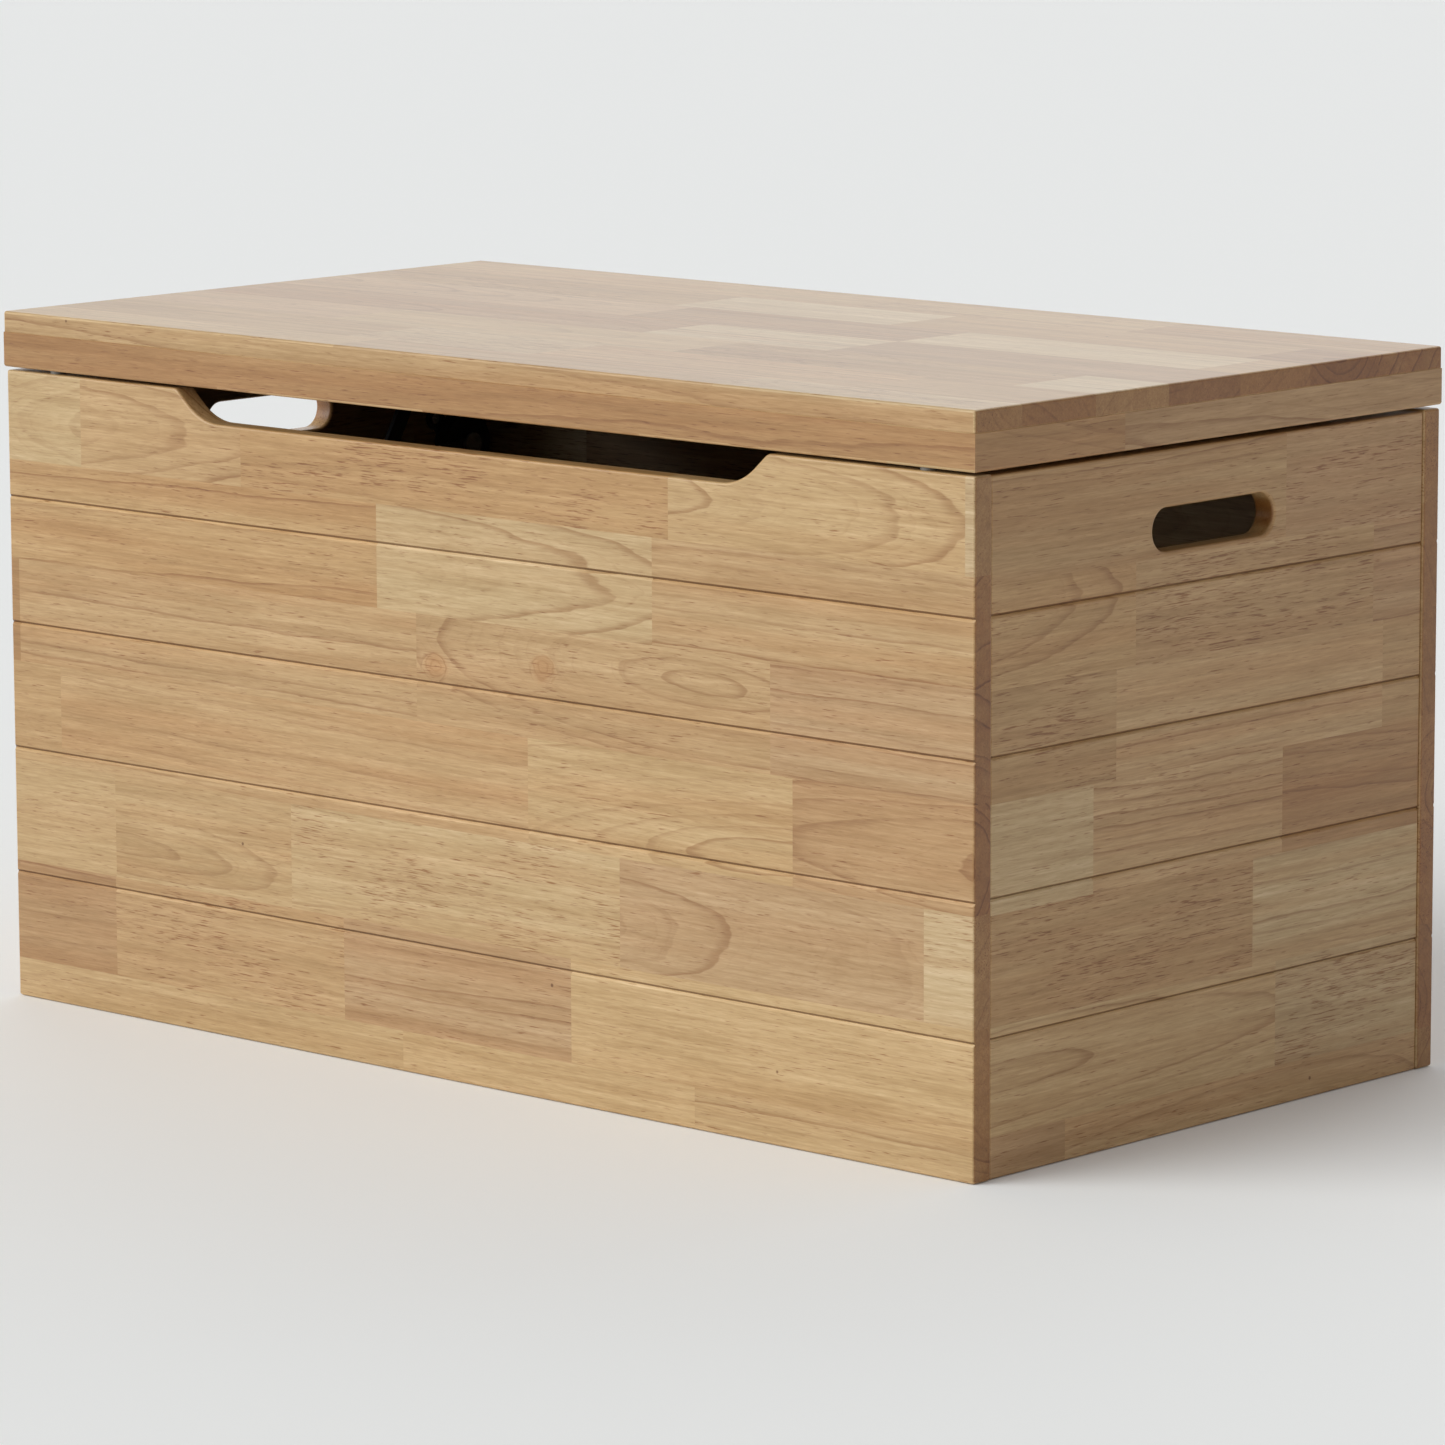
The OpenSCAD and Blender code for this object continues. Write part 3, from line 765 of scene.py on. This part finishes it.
@dataclass(frozen=True)
class Layout:
    """How a board's rows lie: the axes along and across them, and the corner that both count from."""

    along: int
    across: int
    corner: Vector

    def reading(self, place: Vector) -> tuple[float, float]:
        """Returns a place as mm along and mm across the rows."""
        step = place - self.corner
        return step[self.along] / MM, step[self.across] / MM

    def at(self, along: float, across: float) -> Vector:
        """Returns the point at a reading in mm."""
        point = self.corner.copy()
        point[self.along] += along * MM
        point[self.across] += across * MM
        return point


@dataclass
class Board:
    """A board of glued staves that stands for one CAD node."""

    node: str
    body: str
    layout: Layout
    rows: tuple[Row, ...]
    finish: bpy.types.Material
    arris: float = 1.6 * MM
    stave_width: float = 63

    def shape(self) -> Workpiece:
        """Returns the board's shape, still on the bench."""
        piece = Workpiece(self.node + "_staves", *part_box(self.node))
        piece.round_edges(lambda edge: True, self.arris)
        return piece

    def glue_up(self, piece: Workpiece) -> None:
        """Cuts the board's faces along its rows and along the joints in each row.

        Args:
            piece: The shaped board.
        """
        along, across = AXES[self.layout.along], AXES[self.layout.across]
        tops = [row.start for row in self.rows[1:]] + [math.inf]
        for row in self.rows[1:]:
            piece.saw(self.layout.at(0, row.start), across)
        for row, top in zip(self.rows, tops):

            def in_row(face: bmesh.types.BMFace) -> bool:
                """Whether a face lies in this row."""
                return row.start < self.layout.reading(face.calc_center_median())[1] < top

            for stave in row.staves[:-1]:
                piece.saw(self.layout.at(stave.end, 0), along, in_row)

    def stave_at(self, place: Vector) -> tuple[int, int]:
        """Finds the stave at a point.

        Args:
            place: The point.

        Returns:
            The number of its row, and its number in that row.
        """
        along, across = self.layout.reading(place)
        row = max((i for i, r in enumerate(self.rows) if r.start <= across), default=0)
        staves = self.rows[row].staves
        return row, next((i for i, s in enumerate(staves) if along < s.end), len(staves) - 1)

    def tint(self, face: bpy.types.MeshPolygon) -> Vector:
        """Returns what a face's tone is multiplied by: rounded arrises get a painted highlight and are a
        little lighter.
        """
        flat = max(abs(part) for part in face.normal) > 0.97
        # arris faces get a painted highlight
        return Vector((Tint.FLAT if flat else Tint.RUBBED_ARRIS).value)

    def mark(self, made: bpy.types.Object) -> None:
        """Writes each face's stave on the mesh: pith, lean, nature, and tone with the face's painted shade or
        highlight.

        Args:
            made: The finished board.
        """
        marks = [made.data.attributes.new(name, "FLOAT_VECTOR", "FACE") for name in STAVE_MARKS]
        for face in made.data.polygons:
            values = self.stave_marks(*self.stave_at(face.center), self.tint(face))
            for mark, value in zip(marks, values):
                mark.data[face.index].vector = value

    def stave_marks(self, row: int, number: int, tint: Vector) -> tuple[Sequence[float], ...]:
        """Works out one stave's values, the same each time for the same stave.

        Args:
            row: The number of its row.
            number: Its number in the row.
            tint: The face's tint, which holds the painted shade and highlights of grooves and arrises.

        Returns:
            The stave's pith, lean, nature, and tone with its painted shade or highlight.
        """
        low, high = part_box(self.node)
        run, across = self.layout.along, self.layout.across
        side = 1 - run
        through = next(axis for axis in (2, 1, 0) if axis not in (run, across))
        stave = self.rows[row].staves[number]
        sawing: Sawing = stave.figure.value
        chance = random.Random(f"{self.node} {row} {number}")
        start = self.rows[row].staves[number - 1].end if number else 0.0
        foot = self.rows[row].start
        top = self.rows[row + 1].start if row + 1 < len(self.rows) else foot + self.stave_width
        pith = self.layout.at((start + stave.end) / 2 + chance.uniform(-80, 80), (foot + top) / 2)
        pith[across] += chance.choice((-1, 1)) * sawing.offset * chance.uniform(0.7, 1.3) * MM
        pith[through] = (low[through] + high[through]) / 2
        pith[through] += chance.choice((-1, 1)) * sawing.depth * chance.uniform(0.8, 1.25) * MM
        lean = Vector((0, 0, 0))
        lean[through] = chance.choice((-1, 1)) * sawing.lean * chance.uniform(0.7, 1.3)
        lean[across] = sawing.lean * chance.uniform(-0.3, 0.3)
        shade = chance.uniform(0.96, 1.04)
        return (
            (pith[run], pith[side], pith.z),
            (lean[side], lean.z, chance.uniform(0, 40)),
            (sawing.rings, sawing.flecks, sawing.bands),
            # the tint paints shade and highlights into the tone
            Vector(stave.tone.value) * tint * shade,
        )

    def build(self) -> bpy.types.Object:
        """Makes the board and puts it in the CAD node's place.

        Returns:
            The board.
        """
        piece = self.shape()
        self.glue_up(piece)
        made = piece.off_bench()
        self.mark(made)
        made.data.materials.append(self.finish)
        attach(made, self.body)
        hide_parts(self.node)
        staves = sum(len(row.staves) for row in self.rows)
        LOG.info("%s: %d staves, %d faces", self.node, staves, len(made.data.polygons))
        return made


@dataclass
class GroovedPanel(Board):
    """A wall panel with V grooves along its outer face."""

    outward: Vector = -Y
    groove_heights: tuple[float, ...] = (80, 160, 240, 320)
    groove_half: float = 1.5 * MM
    groove_depth: float = 1.5 * MM

    def tint(self, face: bpy.types.MeshPolygon) -> Vector:
        """Finds a face's tint: a groove's upper flank gets painted shade and its lower flank a painted
        highlight.

        Args:
            face: The face.

        Returns:
            The tint.
        """
        in_groove = any(abs(face.center.z - mm * MM) < self.groove_half for mm in self.groove_heights)
        if not in_groove or abs(face.normal.z) <= 0.5:
            return super().tint(face)
        # painted shade on the upper flank, painted highlight on the lower flank
        looks_up = face.normal.z > 0
        return Vector((Tint.GROOVE_LOWER_FLANK if looks_up else Tint.GROOVE_UPPER_FLANK).value)

    def cut_grooves(self, piece: Workpiece) -> None:
        """Cuts the V grooves.

        Args:
            piece: The panel on the bench.
        """
        low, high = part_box(self.node)
        axis = max(range(3), key=lambda i: abs(self.outward[i]))
        sign = self.outward[axis]
        floor = (high if sign > 0 else low)[axis] - sign * self.groove_depth
        for height in (mm * MM for mm in self.groove_heights):
            for offset in (-self.groove_half, 0.0, self.groove_half):
                piece.saw(Vector((0, 0, height + offset)), Z)

            def proud(vertex: bmesh.types.BMVert) -> bool:
                """Whether a vertex lies on the groove's middle line, above its floor."""
                return abs(vertex.co.z - height) < CLEAR and sign * (vertex.co[axis] - floor) > TOUCH

            piece.flatten(proud, axis, floor)

    def shape(self) -> Workpiece:
        """Returns the panel's shape, still on the bench."""
        piece = super().shape()
        self.cut_grooves(piece)
        return piece


@dataclass
class NotchedPanel(GroovedPanel):
    """The front panel, with the lifting notch in its top edge."""

    notch_width: float = 490 * MM
    notch_drop: float = 19.5 * MM
    notch_slope: float = math.radians(42)
    floor_radius: float = 40 * MM
    lip_radius: float = 6 * MM
    lip_facets: int = 5

    def half_profile(self) -> list[tuple[float, float]]:
        """Draws the notch's right half.

        Returns:
            Points from the lip down to the floor, each as x and the drop below the top edge.
        """
        slope, steps = self.notch_slope, self.lip_facets
        lip_x = self.notch_width / 2 + self.lip_radius * math.tan(slope / 2)
        foot = self.notch_width / 2 - self.notch_drop / math.tan(slope)
        floor_x = foot - self.floor_radius * math.tan(slope / 2)
        points = []
        for turn in (slope * i / steps for i in range(steps + 1)):
            points.append((lip_x - self.lip_radius * math.sin(turn), self.lip_radius * (1 - math.cos(turn))))
        for turn in (slope * (1 - i / (2 * steps)) for i in range(2 * steps + 1)):
            rise = self.floor_radius * (1 - math.cos(turn))
            points.append((floor_x + self.floor_radius * math.sin(turn), self.notch_drop - rise))
        return points

    def shape(self) -> Workpiece:
        """Returns the panel's shape, still on the bench."""
        low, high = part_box(self.node)
        piece = Workpiece(self.node + "_staves", low, high)
        band = self.layout.at(0, self.rows[-1].start)
        piece.saw(band, Z)
        for x, drop in self.half_profile():
            for place in (-x, x):

                def on_cut(vertex: bmesh.types.BMVert) -> bool:
                    """Whether a vertex lies on this cut, above the band."""
                    return abs(vertex.co.x - place) < TOUCH and vertex.co.z > band.z + CLEAR

                piece.saw(Vector((place, 0, 0)), X, lambda face: face.calc_center_median().z > band.z + CLEAR)
                piece.flatten(on_cut, 2, high.z - drop)
        piece.round_edges(lambda edge: True, self.arris)
        self.cut_grooves(piece)
        return piece


@dataclass
class SlottedPanel(GroovedPanel):
    """A side panel, with its hand slot and the recesses for its cam locks."""

    slot_length: float = 110 * MM
    slot_height: float = 25 * MM
    slot_level: float = 353 * MM
    rim: float = 2.5 * MM
    cam_radius: float = 7.6 * MM
    cam_set: float = 24 * MM
    cam_depth: float = 12.1 * MM
    cam_heights: tuple[float, ...] = (120, 280)

    def hole_cutter(self, name: str, low: Vector, high: Vector, radius: float, facets: int) -> Workpiece:
        """Makes a cutter that runs along x and is rounded the whole way round.

        Args:
            name: The cutter's name.
            low: Its lowest corner.
            high: Its highest corner.
            radius: Radius of its corners.
            facets: Facets of each corner.

        Returns:
            The cutter.
        """
        cutter = Workpiece(name, low, high)
        cutter.choose("EDGE", lambda e: abs(e.verts[0].co.x - e.verts[1].co.x) > 10 * MM)
        bpy.ops.mesh.bevel(offset=radius - CLEAR, segments=facets, affect="EDGES")
        return cutter

    def cut_slot(self, piece: Workpiece) -> None:
        """Cuts the hand slot through the panel and rounds its two rims.

        Args:
            piece: The panel on the bench.
        """
        low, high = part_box(self.node)
        half = Vector((0, self.slot_length / 2, self.slot_height / 2))
        level = Vector((0, 0, self.slot_level))
        near, far = Vector((low.x - 10 * MM, 0, 0)), Vector((high.x + 10 * MM, 0, 0))
        ends = near + level - half, far + level + half
        piece.cut_away(self.hole_cutter("slot_cutter", *ends, self.slot_height / 2, 14))
        reach = half + Vector((0, 0.1 * MM, 0.1 * MM))

        def on_rim(edge: bmesh.types.BMEdge) -> bool:
            """Whether both ends lie on the slot's outline in one of the two faces."""
            ends = [v.co - level for v in edge.verts]
            same_face = abs(ends[0].x - ends[1].x) < TOUCH
            return same_face and all(abs(e.y) < reach.y and abs(e.z) < reach.z for e in ends)

        piece.round_edges(on_rim, self.rim, 4)

    def sink_cams(self, piece: Workpiece) -> None:
        """Drills the cam locks' recesses in the inner face.

        Args:
            piece: The panel on the bench.
        """
        low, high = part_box(self.node)
        inner = (low if self.outward.x > 0 else high).x
        for height in (mm * MM for mm in self.cam_heights):
            for y in (low.y + self.cam_set, high.y - self.cam_set):
                centre = Vector((inner, y, height))
                reach = Vector((self.cam_depth, self.cam_radius, self.cam_radius))
                ends = centre - reach, centre + reach
                piece.cut_away(self.hole_cutter("cam_drill", *ends, self.cam_radius, 10))

    def shape(self) -> Workpiece:
        """Returns the panel's shape, still on the bench."""
        piece = Board.shape(self)
        self.cut_slot(piece)
        self.sink_cams(piece)
        self.cut_grooves(piece)
        return piece


@dataclass
class LidBoard(Board):
    """The lid's top board: well rounded above, all but sharp at the glue line below."""

    glue_arris: float = 0.3 * MM

    def shape(self) -> Workpiece:
        """Returns the board's shape, still on the bench."""
        low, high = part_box(self.node)
        piece = Workpiece(self.node + "_staves", low, high)
        piece.round_edges(lambda e: max(v.co.z for v in e.verts) > high.z - CLEAR, self.arris)
        piece.round_edges(lambda e: max(v.co.z for v in e.verts) < low.z + CLEAR, self.glue_arris, 1)
        return piece


@dataclass
class LidStrip(Board):
    """A strip under one edge of the lid, mitred at both ends."""

    outward: Vector = -Y
    glue_arris: float = 0.3 * MM

    def shape(self) -> Workpiece:
        """Returns the strip's shape, still on the bench."""
        low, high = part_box(self.node)
        piece = Workpiece(self.node + "_staves", low, high)
        out = max(range(3), key=lambda i: abs(self.outward[i]))
        inner, outer = low[out], high[out]
        if self.outward[out] < 0:
            inner, outer = outer, inner
        run = self.layout.along

        def all_at(element: Any, axis: int, level: float) -> bool:
            """Whether every end of an edge is at a level on an axis."""
            return all(abs(v.co[axis] - level) < TOUCH for v in element.verts)

        for end, inwards in ((low[run], 1), (high[run], -1)):

            def at_corner(vertex: bmesh.types.BMVert) -> bool:
                """Whether a vertex is at this end, on the inner side."""
                return abs(vertex.co[run] - end) < TOUCH and abs(vertex.co[out] - inner) < TOUCH

            piece.shift(at_corner, AXES[run] * (high[out] - low[out]) * inwards)
        piece.round_edges(lambda e: all_at(e, 2, low.z) and all_at(e, out, outer), self.arris)
        piece.round_edges(lambda e: all_at(e, out, inner), self.glue_arris, 1)
        piece.round_edges(lambda e: all_at(e, 2, high.z) and all_at(e, out, outer), self.glue_arris, 1)
        return piece


# ---- Sub-assemblies ----


@dataclass
class Carcass:
    """The four wall panels. Places in the cutting lists are in mm from each panel's lower corner."""

    wood_x: bpy.types.Material
    wood_y: bpy.types.Material
    body: str = "carcass"
    back_row_starts: tuple[float, ...] = (0, 25, 88, 153, 216, 281, 344)
    left_row_starts: tuple[float, ...] = (0, 24, 87, 151, 214, 278, 337.5)
    back_length: float = 800
    left_length: float = 395

    FRONT_KNOTS = ((378, 0, 251), (467, 0, 258))

    FRONT_ROWS = rows(
        (0, "347 STRAW PLAIN, 587 STRAW PLAIN, 900 STRAW STRAIGHT"),
        (25, "93 RUSSET STRAIGHT, 297 TAN FLECKED, 488 ROSE STRAIGHT, 900 STRAW PLAIN"),
        (88, "94 STRAW PLAIN, 252 STRAW SWIRLED, 528 CREAM FLECKED, 763 ROSE CATHEDRAL, 900 PALE FLECKED"),
        (153, "45 OLIVE CATHEDRAL, 454 TAN STRAIGHT, 664 STRAW SWIRLED, 900 RUSSET CATHEDRAL"),
        (216, "8 SIENNA PLAIN, 362 TAN STRAIGHT, 647 TAN SWIRLED, 900 ROSE STRAIGHT"),
        (281, "329 HONEY STRAIGHT, 555 CREAM CATHEDRAL, 900 TAN STRAIGHT"),
        (344, "68 CREAM CATHEDRAL, 212 TAN CATHEDRAL, 568 HONEY FLECKED, 793 STRAW CATHEDRAL, "
              "900 PALE PLAIN"),
    )
    RIGHT_ROWS = rows(
        # painted light: the bottom row's staves are given lighter tones to make up for the darker floor bounce
        # low on this side
        (0, "66 RUSSET PLAIN, 600 TAN SWIRLED"),
        (24, "258 STRAW CATHEDRAL, 600 CREAM FLECKED"),
        (87, "236 OLIVE FLECKED, 600 CREAM STRAIGHT"),
        (151, "90 CREAM PLAIN, 263 TAN STRAIGHT, 600 SIENNA STRAIGHT"),
        (214, "110 OLIVE FLECKED, 358 TAN STRAIGHT, 600 OLIVE STRAIGHT"),
        (278, "127 HONEY SWIRLED, 348 OLIVE FLECKED, 600 RUSSET STRAIGHT"),
        (337.5, "264 OLIVE STRAIGHT, 600 RUSSET FLECKED"),
    )

    def build(self) -> None:
        """Makes the panels."""
        back_rows = mill_rows(self.back_row_starts, self.back_length, 11)
        left_rows = mill_rows(self.left_row_starts, self.left_length, 5)
        panels = (
            (NotchedPanel, "front_panel", 0, self.FRONT_ROWS, -Y),
            (GroovedPanel, "back_panel", 0, back_rows, Y),
            (SlottedPanel, "right_side_panel", 1, self.RIGHT_ROWS, X),
            (SlottedPanel, "left_side_panel", 1, left_rows, -X),
        )
        for panel, node, along, cut_list, outward in panels:
            wood = (self.wood_x, self.wood_y)[along]
            layout = Layout(along, 2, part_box(node)[0])
            panel(node, self.body, layout, cut_list, wood, outward=outward).build()


@dataclass
class Lid:
    """The lid: a board of staves on four mitred strips."""

    wood_x: bpy.types.Material
    wood_y: bpy.types.Material
    body: str = "lid"
    length: float = 802
    width: float = 426

    TOP_ROWS = rows(
        (0, "296 STRAW PLAIN, 605 TAN STRAIGHT, 900 CREAM FLECKED"),
        (40, "267 OLIVE PLAIN, 421 CREAM FLECKED, 677 TAN STRAIGHT, 900 OLIVE PLAIN"),
        (104, "187 ROSE PLAIN, 475 STRAW CATHEDRAL, 741 OLIVE FLECKED, 900 PALE PLAIN"),
        (169, "389 RUSSET SWIRLED, 541 PALE STRAIGHT, 900 RUSSET PLAIN"),
        (234, "315 ROSE CATHEDRAL, 541 RUSSET STRAIGHT, 768 PALE PLAIN, 900 OLIVE PLAIN"),
        (299, "296 OLIVE FLECKED, 475 PALE CATHEDRAL, 752 OLIVE PLAIN, 900 SIENNA CATHEDRAL"),
        (364, "250 TAN STRAIGHT, 610 STRAW FLECKED, 900 OLIVE STRAIGHT"),
    )
    FRONT_STRIP = rows(
        (0, "194 SIENNA STRAIGHT, 371 TAN FLECKED, 547 SIENNA STRAIGHT, 737 TAN FLECKED, 900 CREAM PLAIN"),
    )
    RIGHT_STRIP = rows((0, "130 SIENNA SWIRLED, 600 RUSSET CATHEDRAL"))

    def build(self) -> None:
        """Makes the board and the four strips."""
        layout = Layout(0, 1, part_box("lid_board")[0])
        LidBoard("lid_board", self.body, layout, self.TOP_ROWS, self.wood_x).build()
        strips = (
            ("front_lid_strip", 0, -Y, self.FRONT_STRIP),
            ("back_lid_strip", 0, Y, mill_rows((0,), self.length, 21)),
            ("right_lid_strip", 1, X, self.RIGHT_STRIP),
            ("left_lid_strip", 1, -X, mill_rows((0,), self.width, 23)),
        )
        for node, along, outward, cut_list in strips:
            wood = (self.wood_x, self.wood_y)[along]
            layout = Layout(along, 1 - along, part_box(node)[0])
            LidStrip(node, self.body, layout, cut_list, wood, outward=outward).build()


@dataclass
class Fittings:
    """The CAD nodes that stay as they are, each given its finish."""

    def dress(self, node: str, finish: bpy.types.Material) -> None:
        """Gives a CAD node its one finish."""
        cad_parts[node].data.materials.clear()
        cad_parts[node].data.materials.append(finish)

    def on_both_sides(self, *parts: str) -> tuple[str, ...]:
        """Returns the nodes of parts that the left and the right side each have."""
        return tuple(f"{side}_{part}" for side in ("left", "right") for part in parts)

    def build(self) -> None:
        """Dresses every node that no board stands for."""
        base_stave = Stave(900, Tone.CREAM, Figure.PLAIN)
        dowel_stave = Stave(60, Tone.TAN, Figure.STRAIGHT)
        base_x = WoodFinish("base_wood_x", Grain.ALONG_X, base_stave, varnish=0.0).build()
        base_y = WoodFinish("base_wood_y", Grain.ALONG_Y, base_stave, varnish=0.0).build()
        zinc = SteelFinish("zinc_plate", (0.62, 0.62, 0.60), 0.5).build()
        cast = SteelFinish("cast_zinc", (0.42, 0.42, 0.42), 0.1).build()
        nickel = SteelFinish("satin_nickel", (0.66, 0.63, 0.57), 0.6).build()
        pin = SteelFinish("bright_pin", (0.58, 0.58, 0.58), 0.8).build()
        black = MouldedFinish("black_moulding", (0.022, 0.022, 0.023), 0.42, 0.5).build()
        fibre = MouldedFinish("friction_fibre", (0.16, 0.08, 0.04), 0.6, 0.8).build()
        pad = MouldedFinish("smoky_pad", (0.20, 0.19, 0.17), 0.35, 0.1).build()
        enamel = MouldedFinish("black_enamel", (0.030, 0.030, 0.031), 0.30, 0.2).build()
        beech = WoodFinish("dowel_wood", Grain.ALONG_Y, dowel_stave, varnish=0.0).build()
        both = self.on_both_sides
        pins = ("hinge_pin", "stay_spring_washer", "stay_spindle", "stay_knee_rivet", "stay_bracket_pin")
        plan = (
            (base_x, ("base_board", "front_batten", "back_batten")),
            (base_y, both("batten")),
            (beech, ("corner_dowels",)),
            (zinc, ("batten_screws", "base_board_screws", "cam_bolts")),
            (zinc, ("stay_housing_screws", "stay_bracket_screws")),
            (cast, ("cam_locks",)),
            (pad, ("lid_bumpers",)),
            (nickel, ("hinge_body_screws", "hinge_lid_screws")),
            (nickel, both("hinge_body_leaf", "hinge_lid_leaf")),
            (pin, both(*pins)),
            (black, both("stay_housing", "stay_cover")),
            (fibre, both("stay_friction_discs")),
            (enamel, both("stay_arm", "stay_link", "stay_lid_bracket")),
        )
        for finish, nodes in plan:
            for node in nodes:
                self.dress(node, finish)
            LOG.info("%s: %s", finish.name, ", ".join(nodes))


# ---- Studio ----


@dataclass
class Studio:
    """A pale floor, soft light and the camera. Places are in metres."""

    stand: Vector = Vector((2.893, -3.121, 0.895))
    azimuth: float = math.radians(42.69)
    elevation: float = math.radians(9.37)
    roll: float = math.radians(-0.215)
    lens: float = 174.4
    sensor: float = 36.0
    sun_from: Vector = Vector((-0.5, -0.866, 0.60))
    sun_strength: float = 2.2
    sun_spread: float = math.radians(50)
    sun_colour: Colour = (0.965, 1.0, 0.99)
    bright_way: Vector = Vector((-0.45, 0.85, 0.28))
    bright_edge: float = 0.70
    dim: float = 0.40
    bright: float = 1.5
    floor_size: float = 80.0
    floor_drop: float = 0.3 * MM
    floor_tone: Colour = (0.95, 0.95, 0.95)

    def camera(self) -> None:
        """Sets up the camera."""
        made = bpy.data.cameras.new("camera")
        made.lens, made.sensor_width = self.lens, self.sensor
        holder = bpy.data.objects.new("camera", made)
        bpy.context.scene.collection.objects.link(holder)
        turn, tilt = self.azimuth, self.elevation
        flat = math.cos(tilt)
        ahead = Vector((-math.sin(turn) * flat, math.cos(turn) * flat, -math.sin(tilt)))
        right = Vector((math.cos(turn), math.sin(turn), 0))
        up = right.cross(ahead)
        right, up = (
            right * math.cos(self.roll) + up * math.sin(self.roll),
            up * math.cos(self.roll) - right * math.sin(self.roll),
        )
        facing = Matrix((right, up, -ahead)).transposed().to_4x4()
        holder.matrix_world = Matrix.Translation(self.stand) @ facing
        bpy.context.scene.camera = holder

    def sun(self) -> None:
        """Adds a wide, soft sun."""
        lamp = bpy.data.lights.new("key", "SUN")
        lamp.energy, lamp.angle = self.sun_strength, self.sun_spread
        lamp.color = self.sun_colour
        holder = bpy.data.objects.new(lamp.name, lamp)
        holder.location = self.sun_from * 5
        aim = Vector((0, 0, 0.25)) - holder.location
        holder.rotation_euler = aim.to_track_quat("-Z", "Y").to_euler()
        holder.visible_camera = False
        bpy.context.scene.collection.objects.link(holder)

    def surroundings(self) -> None:
        """Makes pale surroundings that are brighter one way, as with a lit wall there."""
        world = bpy.data.worlds.new("studio")
        world.use_nodes = True
        nodes, links = world.node_tree.nodes, world.node_tree.links
        toward = nodes.new("ShaderNodeVectorMath")
        toward.operation = "DOT_PRODUCT"
        toward.inputs[1].default_value = self.bright_way.normalized()
        links.new(nodes.new("ShaderNodeTexCoord").outputs["Generated"], toward.inputs[0])
        glow = nodes.new("ShaderNodeMapRange")
        glow.interpolation_type = "SMOOTHSTEP"
        limits = {"From Min": self.bright_edge, "From Max": 1.0, "To Min": self.dim, "To Max": self.bright}
        for name, value in limits.items():
            glow.inputs[name].default_value = value
        links.new(toward.outputs["Value"], glow.inputs["Value"])
        links.new(glow.outputs["Result"], nodes["Background"].inputs["Strength"])
        nodes["Background"].inputs["Color"].default_value = (1.0, 1.0, 1.0, 1.0)
        bpy.context.scene.world = world

    def floor(self) -> None:
        """Lays the floor."""
        bpy.ops.object.select_all(action="DESELECT")
        bpy.ops.mesh.primitive_plane_add(size=self.floor_size, location=(0, 0, -self.floor_drop))
        bpy.ops.object.transform_apply(location=True, rotation=True, scale=True)
        floor = bpy.context.object
        floor.name = "studio_floor"
        sheet = NodeSheet("studio_floor")
        sheet.set(Base_Color=self.floor_tone, Roughness=0.95)
        floor.data.materials.append(sheet.material)

    def build(self) -> None:
        """Makes the floor, the light, the surroundings and the camera."""
        self.floor()
        self.sun()
        self.surroundings()
        bpy.context.scene.view_settings.view_transform = "Standard"
        self.camera()
        LOG.info("studio: floor, sun, surroundings and camera")


def main() -> None:
    """Builds the studio, the carcass, the lid and the fittings."""
    logging.basicConfig(level=logging.INFO, format="%(name)s: %(message)s")
    Studio().build()
    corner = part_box("front_panel")[0]
    knots = tuple(tuple(corner + Vector(place) * MM) for place in Carcass.FRONT_KNOTS)
    wood_x = WoodFinish("stave_wood_x", Grain.ALONG_X, knots=knots).build()
    wood_y = WoodFinish("stave_wood_y", Grain.ALONG_Y).build()
    Carcass(wood_x, wood_y).build()
    Lid(wood_x, wood_y).build()
    Fittings().build()


if __name__ == "__main__":
    main()
